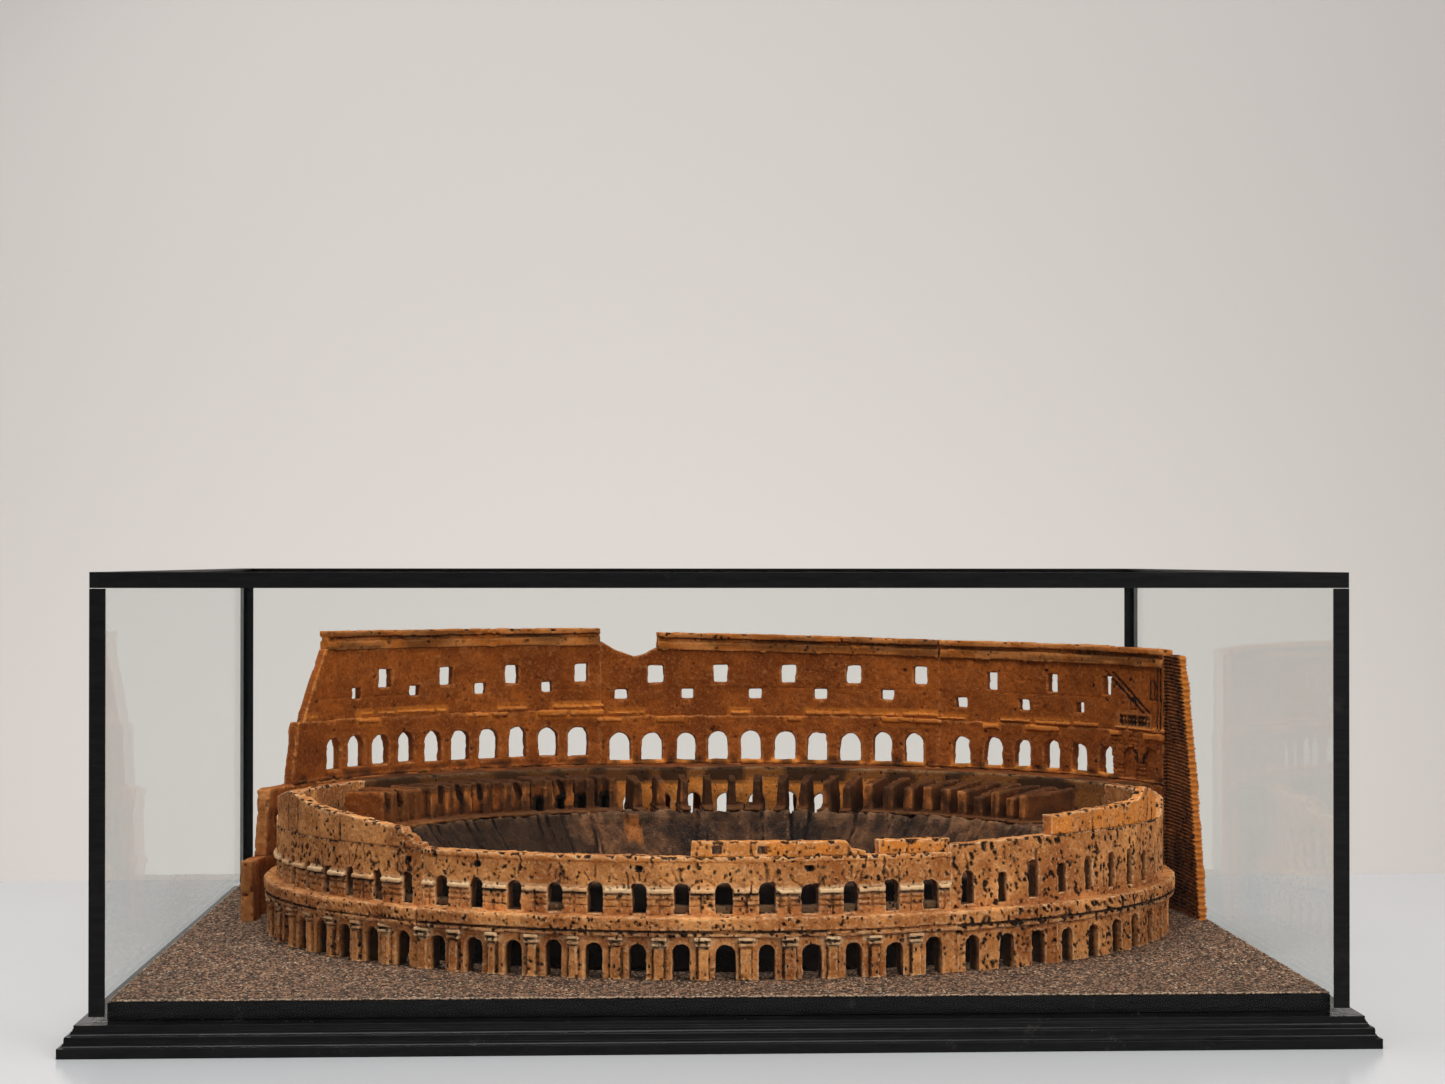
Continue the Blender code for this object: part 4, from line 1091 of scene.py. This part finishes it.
def attic_wall(panel, seed):
    low = THIRD_TOP[panel] + 0.3
    top = OUTER.line(ATTIC_TOPS[panel])
    end = WEST_ENDS["attic"][0] if panel == "west" else None
    work = outer_carving(panel, low, max(top[1]) + 0.5, seed, end)
    work.wall(0.6, ATTIC_BACK, low, top)
    bays = outer_bays(panel, None, ATTIC_BAYS)
    start, stop = work.axes[0][0], work.axes[0][-1]
    for a, _ in bays:
        work.add_brick((a - 1.5, low, -0.6), (a + 1.5, ATTIC_PILASTER_TOP, 2.0), 0.5)
    broken_ledge(work, start, stop, low, low + 3.0, ATTIC_BACK, 0.75)
    for number, (a, b) in enumerate(bays, 1):
        sill, height, width = (LARGE_WINDOW if number % 2 else SMALL_WINDOW)[panel]
        middle = (a + b) / 2 + work.wobble(0.8)
        width += work.wobble(1.0)
        if number > BLIND_BAYS[panel]:
            work.cut_brick((middle - width / 2, sill, -9), (middle + width / 2, sill + height, 20), 0.6)
    if panel == "east":
        ruin_marks(work)
    work.cut_stroke((start, ATTIC_JOINT + 1.0), (stop, ATTIC_JOINT), 0.22, ATTIC_BACK, 0.35, -1)
    if panel == "west":
        slant(work, *WEST_ENDS["attic"], low, 159.0)
    work.weather(0.35, 0.24)
    many = round((stop - start) * 0.3)
    work.pores(many, (start, low), (stop, 150.0), (0.6, ATTIC_BACK), (0.7, 1.6), (0.5, 0.8))
    if panel == "middle":
        work.nibble(14, OUTER.line(((97.4, 155.0), (105.2, 158.0))), 0.6, ATTIC_BACK, (1.0, 2.4))
    work.show(f"attic_wall_{panel}")


def ruin_marks(work):
    """By the buttress: a grid of little squares, braces across a crack, and two blind niches."""
    at, face = OUTER.length_at, ATTIC_BACK
    near = at(17.5)
    for row in range(2):
        for step in range(9):
            left, foot = near + 3.7 * step, 111.4 + 3.5 * row
            corners = (left, foot, face - 1.2), (left + 2.5, foot + 2.4, 12.0)
            work.cut_and_shade(*corners, brick(*corners, 0.2), 0.95)
    work.paint("pale", (near - 1.0, 110.4, face - 0.6), (near + 34.0, 118.2, 12.0), 0.35)
    for low, high in ((17.5, 26.5), (19.0, 28.0)):
        work.cut_stroke((at(low), 119.0), (at(high), 144.0), 0.50, face, 1.0, -1, 0.9)
    for middle, low, high in ((16.6, 128.0, 140.0), (21.6, 121.0, 127.0)):
        left, right = at(middle) - 2.8, at(middle) + 2.8
        scribe(work, ((left, low), (left, high), (right, high), (right, low), (left, low)), face)
    for line in (14.3, 15.3):
        work.cut_stroke((at(line), 109.0), (at(line), 149.0), 0.42, face, 0.9, -1, 0.8)


def cornice(panel, seed):
    """The crowning cornice: a frieze, a groove and a capping that stands out on both faces."""
    foot = OUTER.line(CORNICE_FOOT[panel])
    start = OUTER.length_at(PANEL_ANGLES[panel][0]) + 0.2
    stop = OUTER.length_at(CORNICE_ENDS[panel]) - 0.2
    low, high = min(foot[1]), max(foot[1]) + CORNICE_HEIGHT
    work = Carving(OUTER, (start, low - 1.0, -1.2), (stop, high, 10.0), CELL["cornice"], seed)
    level = sum(foot[1]) / len(foot[1])

    def band(rise, fall, front, back):
        def shape(s, z, d):
            up = z - np.interp(s, *foot)
            return meet(between(s, start, stop), between(up, rise, fall), between(d, front, back))

        work.add((start, low - 3, -2), (stop, high, 12), shape)

    band(-1.2, 4.6, -0.4, 8.2)
    band(4.0, 8.0, 0.6, 6.6)
    band(7.2, 10.8, -0.9, 9.4)
    work.weather(0.35, 0.24)
    top = (foot[0], [height + CORNICE_HEIGHT for height in foot[1]])
    work.nibble(round((stop - start) / 7), top, 0.0, 9.0, (0.7, 1.8))
    work.pores(round((stop - start) * 0.25), (start, low), (stop, high), (8.6,), (0.8, 2.0), (0.4, 0.8))
    work.paint("warm", (start - 2, low, -2.0), (stop + 2, high + 2, 12.0), 0.35)
    # Painted highlight: pale patches over the upper inner face and top
    work.stain("pale", (start, level, 6.0), (stop, high + 2, 12.0), 0.45, 14.0)
    # Painted shade in patches under the capping
    work.stain("painted_shade", (start, level - 3, 6.0), (stop, level + 9.0, 12.0), 0.6, (20.0, 2.4, 9.0))
    work.show(f"cornice_{panel}")


def buttress(seed):
    """The buttress: fine brick courses on its inner face and a scalloped outer edge."""
    inner = OUTER.length_at(PANEL_ANGLES["east"][0]) - 0.3
    foot, head, top = OUTER.length_at(-0.6), OUTER.length_at(8.6), 157.0
    work = Carving(OUTER, (foot, 0.0, -0.4), (inner, top, 7.2), CELL["buttress"], seed)
    front, face, scallop, course = 0.2, 5.6, 3.6, 2.15

    def shape(s, z, d):
        slope = foot + (head - foot) * np.clip(z / top, 0.0, 1.0)
        edge = slope + 1.0 * np.abs(np.sin(z * math.pi / scallop))
        return meet(between(s, edge, inner), between(z, 0.0, top), between(d, front, face))

    work.add((foot, 0, -1), (inner, top, 8), shape)
    for height in np.arange(2.0, top, course).tolist():
        ends = (foot, height + work.wobble(0.3)), (inner, height + 3.0)
        work.cut_stroke(*ends, 0.42, face, 0.8, -1, 0.7)
        work.cut_stroke(*ends, 0.42, front, 0.8, 1, 0.5)
    work.add_brick((inner - 2.4, 0.0, 4.0), (inner, top, 6.8), 0.4)
    steps = 15
    for step in range(steps + 1):
        share = step / steps
        edge, level = foot + (head - foot) * share, top * share
        work.paint("warm", (foot - 2, level - 5.5, -2.0), (edge + 1.4, level + 5.5, 9.0), 0.5)
    work.weather(0.30, 0.20)
    work.show("east_buttress")


def make_outer_wall():
    both = ((0.0, FIRST_TOP), (FIRST_TOP, SECOND_TOP))
    outer_lower("outer_wall_lower_east", "east", both, 500)
    outer_lower("outer_wall_lower_middle", "middle", both, 501)
    outer_lower("outer_wall_first_west", "west", both[:1], 502, WEST_ENDS["first"][0])
    upper = ((FIRST_TOP + 0.3, SECOND_TOP),)
    outer_lower("outer_wall_second_west", "west", upper, 503, WEST_ENDS["second"][0])
    for seed, panel in enumerate(PANELS):
        third_storey(panel, 510 + seed)
        attic_wall(panel, 520 + seed)
        cornice(panel, 530 + seed)
    buttress(540)


# ---- Seating bowl


def seating_bowl(section, seed):
    """Half of the bowl: a rough tier, then a slope with ruined ribs and cracks down to the arena."""
    begin, finish = (180.1, 359.9) if section == "south" else (0.1, 179.9)
    start, stop = RING.length_at(begin), RING.length_at(finish)
    tier = TIER_HEIGHT[section]
    low, high = (start, 0.0, TIER_START), (stop, tier + 4.0, BOWL_FOOT)
    work = Carving(RING, low, high, CELL[f"bowl_{section}"], seed)
    rng = work.random
    ribs = rng.uniform(-1.0, 1.0, 400)
    insets = TIER_START, RIM - 4, RIM, RIM + 3, BOWL_FOOT
    levels = tier, tier, tier + 0.8, tier - 5, 5.0

    def shape(s, z, d):
        rib = np.interp((s - start) / 4.0, np.arange(len(ribs)), ribs)
        fade = np.interp(d, (RIM - 6, RIM + 8, BOWL_FOOT), (0.1, 1.0, 0.5))
        surface = np.interp(d, insets, levels) + 1.8 * rib * fade
        sides = between(s, start, stop), between(d, TIER_START, BOWL_FOOT)
        return meet(*sides, -z, (z - surface) * 0.72)

    work.add(low, high, shape)
    work.field += 1.3 * work.lumps(13.0) + 1.1 * work.lumps((5.0, 5.0, 8.0)) + 0.5 * work.lumps(2.6)
    for _ in range(30):
        at, lean = rng.uniform(start, stop), work.wobble(12)
        crack(work, at, lean, tier)
    if section == "north":
        for near, far in sunk_bays("east") + sunk_bays("west"):
            work.cut_brick((near, tier - 6.0, TIER_START - 3), (far, tier + 4, RIM - 4.0), 0.6)
        podium, shade = RING.length_at(PODIUM), RING.length_at(SHADED_SLOPE)
        work.add_brick((podium - 5.0, 8.0, RIM - 3.0), (podium + 5.0, tier + 0.6, RIM + 7.0), 1.2)
        work.paint("warm", (podium - 4.0, 8.0, RIM - 2.0), (podium + 5.5, tier - 3.0, RIM + 12.0), 0.75)
        # Painted shade over the west part of the slope
        work.paint("painted_shade", (shade, 0.0, RIM - 1), (stop, tier - 1.5, BOWL_FOOT + 2), 0.7)
    # Painted shade in patches on the slope
    work.stain("painted_shade", (start, 0.0, RIM - 1), (stop, tier - 1.5, BOWL_FOOT + 2), 0.6, (7.0, 14.0, 12.0))
    # Painted highlight in patches along the lit top of the rim
    work.stain("pale", (start, tier - 0.6, RIM - 2.0), (stop, tier + 4.0, RIM + 2.0), 0.45, 9.0)
    # Painted shade on the bowl's back face, in the gap between it and the ring
    work.paint("painted_shade", (start, 0.0, TIER_START - 4), (stop, tier - 3.0, TIER_START + 4.0), 0.9)
    work.show(f"seating_bowl_{section}")


def crack(work, at, lean, tier):
    """A crack down the slope of the bowl."""
    deep, half = work.random.uniform(1.5, 4.0), work.random.uniform(0.5, 1.0)
    rise, run = tier - 5.0, BOWL_FOOT - RIM

    def shape(s, z, d):
        share = (d - RIM) / run
        surface = tier - share * rise
        across = np.abs(s - at - lean * share) - half
        return np.maximum(across, (surface - deep) - z)

    # The crack is painted dark inside as its shade
    work.cut_and_shade((at - 14, 0.0, RIM - 2), (at + 14, tier + 4, BOWL_FOOT), shape, 0.9)


def radial_walls(section, seed):
    """Ruined radial walls on the upper tier: free-standing to the east, half closed up to the west."""
    begin, finish, count = FINS[section]
    start, stop = RING.length_at(begin), RING.length_at(finish)
    low = TIER_HEIGHT["north"] + 0.3
    limits = (start, low, TIER_START - 1.2), (stop, FIN_TOP, FIN_REACH)
    work = Carving(RING, *limits, CELL["radial"], seed)
    rng = work.random
    work.add_brick((start, low, TIER_START - 1.0), (stop, low + 1.8, FIN_REACH - 1.0), 0.5)
    for near, far in sunk_bays(section):
        work.cut_brick((near, low - 2, TIER_START - 3), (far, low + 4, FIN_REACH + 2.0))
    for a, b in RING.bays(begin, finish, count):
        middle = (a + b) / 2 + work.wobble(0.8)
        toward_ends = min(abs(middle - RING.length_at(88.0)) / 150.0, 1.0)
        half = 3.2 + 1.2 * toward_ends * rng.uniform(0.7, 1.2)
        closed = section == "west" and b > RING.length_at(OPEN_BAYS[1])
        toe = 50.0 + (10.0 if closed else 20.0) * toward_ends + work.wobble(1.5)
        most, lost = (74.6, (0.0, 1.0)) if closed else (72.5, (1.0, 6.0))
        height = most - toward_ends * rng.uniform(*lost)
        shape = pier(middle, half, toe, height, low)
        left, right = middle - half, middle + half
        work.add((left - 2, low, TIER_START - 2), (right + 2, FIN_TOP, toe + 2), shape)
        # Painted shade on each fin: all over it for the east fins nearer the middle and the fins at the
        # middle, on its back part for the rest
        dark = toward_ends < 0.5 and section == "east" or toward_ends < 0.12
        until, dark_and_shade = (toe + 3, 0.85) if dark else (toe - 4.5, 0.7)
        work.paint("painted_shade", (left - 1, low, TIER_START - 1), (right + 1, FIN_TOP, until), dark_and_shade)
        if not dark:
            work.paint("pale", (left, low + 5, toe - 3.0), (right, height + 3, toe + 3), 0.14)
        if closed:
            fill_between(work, middle, b + 3.0, low, toe)
    work.weather(0.5, 0.45)
    # Painted shade in patches over the fins, and along their foot
    work.stain("painted_shade", (start, low, TIER_START - 2), (stop, FIN_TOP, FIN_REACH), 0.85, (6.0, 9.0, 9.0))
    work.paint("painted_shade", (start, low - 1, TIER_START - 2), (stop, low + 2.6, FIN_REACH), 0.75)
    if section == "west":
        # Painted shade along the tops of the west fins, and over the westmost ones
        corner = stop, FIN_TOP + 2.0, FIN_REACH
        work.paint("painted_shade", (start, 72.6, TIER_START - 2), corner, 0.8)
        work.paint("painted_shade", (RING.length_at(WEST_SHADE), low, TIER_START - 2), corner, 0.55)
    work.show(f"radial_walls_{section}")


def sunk_bays(section):
    """Lengths of the sunk floors between the free-standing fins in front of the open windows."""
    begin, finish, count = FINS[section]
    bays = [end for _, end in RING.bays(begin, finish, count)]
    pitch = bays[1] - bays[0]
    low, high = (RING.length_at(angle) for angle in OPEN_BAYS)
    half_wall = 4.2
    return [
        (end - pitch / 2 + half_wall, end + pitch / 2 - half_wall)
        for end in bays[:-1] if low < end < high
    ]


def pier(middle, half, toe, height, low):
    """Distance to one radial wall, whose broken top slopes down to its inner end."""

    def shape(s, z, d):
        top = np.interp(d, (TIER_START, TIER_START + 10, toe), (FIN_HEAD, FIN_HEAD - 0.5, height))
        sides = np.abs(s - middle) - half + 0.04 * (z - low)
        return meet(sides, d - toe, (z - top) * 0.85, TIER_START - 1.0 - d)

    return shape


def fill_between(work, near, far, low, toe):
    """Masonry between two piers, lower than they are, sometimes with a small door at its foot."""
    rng = work.random
    back = toe - rng.uniform(2.5, 5.0)
    crown = rng.uniform(73.6, 75.2)
    work.add_brick((near, low, TIER_START), (far, crown, back), 1.2)
    if rng.random() < 0.8:
        # A tall recess, painted dark inside as its shade
        work.cut_pit(((near + far) / 2, crown - 5.0, back), (2.2, 7.5, 3.0), rng.uniform(-0.7, 0.1), 0.6)
    if near < RING.length_at(LAST_DOOR):
        door = (near + far) / 2
        work.cut_brick((door - 2.6, low, back - 12), (door + 2.6, low + 9.0, back + 4), 0.8)
        # The doorway painted near black as the shade inside it
        work.paint("pore_dark_and_shade", (door - 2.6, low, back - 9), (door + 2.6, low + 9.0, back - 1.0), 1.0)


def gallery_vault(seed):
    """The roof of the gallery, with a ragged inner edge over the ring."""
    low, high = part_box("gallery_vault")
    foot, top = low.z / MM - GROUND, high.z / MM - GROUND
    start, stop = OUTER.length_at(17.0), OUTER.length_at(150.5)
    low, high = (start, foot, OUTER_BACK), (stop, top + 0.6, 52.0)
    work = Carving(OUTER, low, high, CELL["vault"], seed)
    lengths = np.linspace(start, stop, 200)
    angles = np.interp(lengths, OUTER.lengths, OUTER.angles)
    inner = [gap_to_ring(angle) for angle in angles.tolist()]

    def shape(s, z, d):
        edge = np.interp(s, lengths, inner)
        return meet(between(s, start, stop), between(z, foot, top), between(d, OUTER_BACK + 0.3, edge))

    work.add(low, high, shape)
    work.weather(0.45, 0.3)
    low, high = (start, foot - 2, OUTER_BACK), (stop, top + 2, 60.0)
    # Painted shade over the whole vault, darker in patches
    work.paint("painted_shade", low, high, 0.35)
    work.stain("painted_shade", low, high, 0.75, 15.0)
    work.show("gallery_vault")


def gap_to_ring(angle):
    """How far the ring's upper storey lies inside the outer oval, at this angle on the outer oval."""
    direction = np.array([math.cos(angle), math.sin(angle)])
    normal = direction / OUTER.half
    normal /= np.linalg.norm(normal)
    point = OUTER.centre + OUTER.half * direction
    reaches = np.linspace(5.0, 60.0, 560)
    spots = (point - reaches[:, None] * normal - RING.centre) / (RING.half - UPPER_FACE + 0.3)
    inside = np.hypot(*spots.T) < 1.0
    return float(reaches[int(np.argmax(inside))])


def make_bowl():
    seating_bowl("south", 600)
    seating_bowl("north", 601)
    radial_walls("east", 610)
    radial_walls("west", 611)
    gallery_vault(620)


# ---- Ground


def granules(points, cell, seed):
    """Heights from 0 to 1 of rounded granules packed about a cell apart, at (x, y) points."""
    rng = np.random.default_rng(seed)
    table = rng.random((256, 256, 3))
    at = points / cell
    base = np.floor(at).astype(int)
    best = np.zeros(len(points))
    for dx in (-1, 0, 1):
        for dy in (-1, 0, 1):
            square = base + (dx, dy)
            own = table[square[:, 0] % 256, square[:, 1] % 256]
            apart = np.hypot(*(at - square - own[:, :2]).T) / (0.45 + 0.4 * own[:, 2])
            best = np.maximum(best, np.sqrt(np.clip(1 - apart**2, 0, 1)) * (0.5 + 0.5 * own[:, 2]))
    return best


def granular_sheet(node, oval, cell, spacing, foot, level, rise, seed):
    """A rectangle, or the oval inside it, of granules over a node's box, closed below."""
    low, high = (np.array(corner[:2]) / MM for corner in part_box(node))
    counts = np.ceil((high - low) / spacing).astype(int) + 1
    x, y = (np.linspace(a, b, n) for a, b, n in zip(low, high, counts))
    grid = np.stack(np.meshgrid(x, y, indexing="ij"), axis=-1).reshape(-1, 2)
    ragged = np.random.default_rng(seed + 1).uniform(0.0, 0.9, len(grid))
    middle = (low + high) / 2
    heights = level + rise * granules(grid, cell, seed)
    shrink = 1 - ragged / (np.abs(high - middle).min())
    edge = (np.abs(np.abs(grid - middle) - (high - middle)) < 0.01).any(axis=1)
    grid = np.where(edge[:, None], middle + (grid - middle) * shrink[:, None], grid)
    if oval:
        grid = middle + ellipse_from_square((grid - middle) / (high - middle)) * (high - middle)
    top = np.column_stack([grid, heights])
    under = np.column_stack([grid, np.full(len(grid), foot)])
    cells = np.arange(len(grid)).reshape(counts)
    quads = np.stack([cells[:-1, :-1], cells[1:, :-1], cells[1:, 1:], cells[:-1, 1:]], axis=-1).reshape(-1, 4)
    rim = np.concatenate([cells[:, 0], cells[-1, 1:], cells[-2::-1, -1], cells[0, -2:0:-1]])
    below = len(grid) + np.arange(len(rim))
    walls = np.column_stack([rim, below, np.roll(below, -1), np.roll(rim, -1)])
    points = np.concatenate([top, under[rim]]) * MM
    pale = np.concatenate([edge * 0.75, np.full(len(rim), 0.1)])
    return mesh_from(node, points, np.concatenate([quads, walls]), {"pale": pale}, below[::-1])


def ellipse_from_square(points):
    """Points of a square carried onto a disc."""
    u, v = points.T
    return np.column_stack([u * np.sqrt(1 - v * v / 2), v * np.sqrt(1 - u * u / 2)])


def clear_of(oval, spots, gap):
    """Which of these spots on the ground lie outside an oval grown by this gap."""
    return np.hypot(*((spots - oval.centre) / (oval.half + gap)).T) > 1.0


def loose_grains(seed, count=9000):
    """Single granules lying on the ground, some of them up against the ring's front."""
    rng = np.random.default_rng(seed)
    low, high = (np.array(corner[:2]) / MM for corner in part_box("ground_bed"))
    spots = rng.uniform(low + 2, high - 2, (count, 2))
    in_front = spots[:, 1] < -60
    away = clear_of(RING, spots, 4) & clear_of(OUTER, spots, 4) | in_front & clear_of(RING, spots, 3)
    spots = spots[away]
    corners = np.array([(1, 0, 0), (-1, 0, 0), (0, 1, 0), (0, -1, 0), (0, 0, 1), (0, 0, -1)], float)
    faces = np.array([(0, 2, 4), (2, 1, 4), (1, 3, 4), (3, 0, 4), (2, 0, 5), (1, 2, 5), (3, 1, 5), (0, 3, 5)])
    sizes = rng.uniform(0.30, 0.62, (len(spots), 1, 1)) * rng.uniform(0.7, 1.2, (len(spots), 6, 3))
    turn = rng.uniform(0, 2 * math.pi, len(spots))
    shapes = corners[None] * sizes
    cosine, sine = np.cos(turn)[:, None], np.sin(turn)[:, None]
    x = shapes[..., 0] * cosine - shapes[..., 1] * sine + spots[:, :1]
    y = shapes[..., 0] * sine + shapes[..., 1] * cosine + spots[:, 1:]
    z = shapes[..., 2] * 0.7 + GROUND + 0.5
    points = np.stack([x, y, z], axis=-1).reshape(-1, 3) * MM
    triangles = (faces[None] + 6 * np.arange(len(spots))[:, None, None]).reshape(-1, 3)
    mesh = bpy.data.meshes.new("loose_grains")
    mesh.from_pydata(points.tolist(), [], triangles.tolist())
    layer = mesh.attributes.new("pale", "FLOAT", "POINT")
    pale = np.where(rng.random(len(spots)) < 0.12, rng.uniform(0.3, 0.9, len(spots)), 0.0)
    layer.data.foreach_set("value", np.repeat(pale, len(corners)).astype(np.float32))
    return mesh


def make_ground():
    low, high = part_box("ground_bed")
    sheet = granular_sheet("ground_bed", False, 1.7, 1.35, low.z / MM, high.z / MM - 0.2, 0.9, 700)
    stand_for(sheet, "ground_bed")
    grains = linked("loose_grains", loose_grains(701))
    grains.data.materials.append(LOOKS["granulated_cork"])
    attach(grains, "base")
    low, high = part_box("arena_floor")
    arena = granular_sheet("arena_floor", True, 2.0, 1.8, low.z / MM, high.z / MM - 0.3, 1.1, 702)
    stand_for(arena, "arena_floor")


# ---- Plinth and case


MOULDING = (
    ("line", (12.9, 0.0)),
    ("line", (12.9, 4.9)),
    ("cove", (10.4, 6.9)),
    ("line", (10.0, 6.9)),
    ("line", (10.0, 7.8)),
    ("bead", (9.5, 10.0)),
    ("cove", (7.0, 12.3)),
    ("line", (6.4, 12.3)),
    ("line", (6.4, 13.3)),
    ("line", (6.0, 13.3)),
    ("line", (6.0, 15.0)),
)


def moulding_outline():
    """The moulding's profile with its hollow and rounded runs as quarter turns."""
    points = []
    for kind, (out, height) in MOULDING:
        if kind == "line":
            points.append((out, height))
            continue
        start_out, start_height = points[-1]
        for turn in np.radians(np.linspace(15, 90, 6)).tolist():
            across, up = 1 - math.cos(turn), math.sin(turn)
            if kind == "cove":
                across, up = up, across
            rise = (height - start_height) * up
            points.append((start_out + (out - start_out) * across, start_height + rise))
    return points


def plinth_moulding(side, direction):
    """One mitred length of moulding with softened edges."""
    node = f"plinth_moulding_{side}"
    low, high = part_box(node)
    along_x = direction[1] != 0
    outline = moulding_outline() + [(-30.0, 15.0), (-30.0, 0.0)]
    reach = max(out for out, _ in outline)
    half_length = (high.x if along_x else high.y) / MM - reach
    half_span = (max(abs(low.y), abs(high.y)) if along_x else max(abs(low.x), abs(high.x))) / MM - reach
    sign = direction[1] if along_x else direction[0]
    bm = bmesh.new()
    rows = []
    for end in (-1, 1):
        row = []
        for out, height in outline:
            along, across = end * (half_length + out), sign * (half_span + out)
            spot = (along, across, height) if along_x else (across, along, height)
            row.append(bm.verts.new([c * MM for c in spot]))
        rows.append(row)
    count = len(outline)
    for i in range(count):
        j = (i + 1) % count
        bm.faces.new((rows[0][i], rows[0][j], rows[1][j], rows[1][i]))
    bm.faces.new(rows[0])
    bm.faces.new(rows[1])
    bmesh.ops.recalc_face_normals(bm, faces=bm.faces)
    mesh = bpy.data.meshes.new(node)
    bm.to_mesh(mesh)
    bm.free()
    soften(stand_for(mesh, node), 0.25)


def soften(piece, width):
    """Rounds a piece's edges, as wear or sanding rounds them."""
    bevel = piece.modifiers.new("rounded_edges", "BEVEL")
    bevel.width = width * MM
    bevel.segments = 2
    bevel.limit_method = "ANGLE"
    bevel.angle_limit = math.radians(30)
    piece.data.shade_smooth()
    piece.data.set_sharp_from_angle(angle=math.radians(40))


def softened_copy(node, width):
    """The node's own shape with rounded edges."""
    soften(stand_for(frame["nodes"][node].data.copy(), node), width)


def make_plinth():
    for side, direction in zip(SIDES, ((0, -1), (0, 1), (-1, 0), (1, 0))):
        plinth_moulding(side, direction)
    softened_copy("ground_board", 0.4)
    for node in ["plinth_panel"] + [f"board_screw_{number}" for number in range(1, 5)]:
        shown = frame["nodes"][node]
        shown.data.materials.clear()
        shown.data.materials.append(LOOKS[SLOT_OF[node]])


def make_case():
    for side in ("top", *SIDES):
        softened_copy(f"glass_{side}", 0.3)
    for side in SIDES:
        softened_copy(f"top_strip_{side}", 0.25)
    for end in ("front", "back"):
        for hand in ("left", "right"):
            softened_copy(f"corner_strip_{end}_{hand}", 0.25)


# ---- Stage, light and camera


def plain(name, colour, roughness):
    made = bpy.data.materials.new(name)
    made.use_nodes = True
    shader = made.node_tree.nodes["Principled BSDF"].inputs
    shader["Base Color"].default_value, shader["Roughness"].default_value = (*colour, 1.0), roughness
    return made


def area_light(name, place, target, size, power, colour=(1.0, 1.0, 1.0)):
    lamp = bpy.data.lights.new(name, "AREA")
    lamp.shape = "RECTANGLE"
    lamp.size, lamp.size_y = size
    lamp.energy = power
    lamp.color = colour
    made = linked(name, lamp)
    made.location = place
    made.rotation_euler = (Vector(target) - Vector(place)).to_track_quat("-Z", "Y").to_euler()


def flat_sheet(name, corners, material):
    mesh = bpy.data.meshes.new(name)
    mesh.from_pydata(corners, [], [(0, 1, 2, 3)])
    made = linked(name, mesh)
    made.data.materials.append(material)


def make_stage():
    """A pale glossy table and a pale wall well behind it, under soft studio light."""
    wide, near, edge, far, drop, thick, tall = 7.0, -7.0, 0.42, 3.0, -0.75, 0.04, 5.0
    table = plain("pale_table", (0.60, 0.605, 0.615), 0.20)
    wall = plain("pale_wall", (0.665, 0.635, 0.61), 0.9)
    flat_sheet("floor", [(-wide, near, 0), (wide, near, 0), (wide, edge, 0), (-wide, edge, 0)], table)
    rim = [(-wide, edge, -thick), (-wide, edge, 0), (wide, edge, 0), (wide, edge, -thick)]
    flat_sheet("table_edge", rim, table)
    far_corners = [(-wide, far, drop), (wide, far, drop)]
    flat_sheet("room_floor", [(-wide, near, drop), (wide, near, drop), *far_corners[::-1]], wall)
    flat_sheet("backdrop", [*far_corners, (wide, far, tall), (-wide, far, tall)], wall)
    world = bpy.data.worlds.new("studio")
    world.use_nodes = True
    sky = world.node_tree.nodes["Background"].inputs
    sky["Color"].default_value, sky["Strength"].default_value = (0.62, 0.63, 0.65, 1.0), 0.55
    bpy.context.scene.world = world
    area_light("overhead", (-0.2, -0.35, 1.7), (0.0, 0.0, 0.1), (1.3, 0.9), 23.0)
    area_light("front_window", (1.3, -1.9, 1.3), (0.0, 0.0, 0.1), (0.9, 0.9), 30.0, (1.0, 0.97, 0.93))
    area_light("back_fill", (-1.3, 2.3, 1.9), (0.0, 0.1, 0.1), (1.0, 1.0), 9.0)
    area_light("wall_wash_low", (0.0, 1.3, -0.5), (0.0, far, 0.5), (3.4, 0.6), 24.0, (1.0, 0.965, 0.94))
    area_light("wall_wash_high", (0.0, 1.7, 2.1), (0.0, far, 0.5), (3.4, 0.6), 11.0, (1.0, 0.965, 0.94))


def make_camera():
    lens = bpy.data.cameras.new("camera")
    lens.lens = CAMERA_LENS
    lens.sensor_width = 36.0
    camera = linked("camera", lens)
    camera.location = CAMERA_PLACE
    camera.rotation_euler = CAMERA_TURN
    bpy.context.scene.camera = camera


make_camera()
make_stage()
make_ring()
make_outer_wall()
make_bowl()
make_ground()
make_plinth()
make_case()
bpy.context.scene.view_settings.view_transform = "Standard"
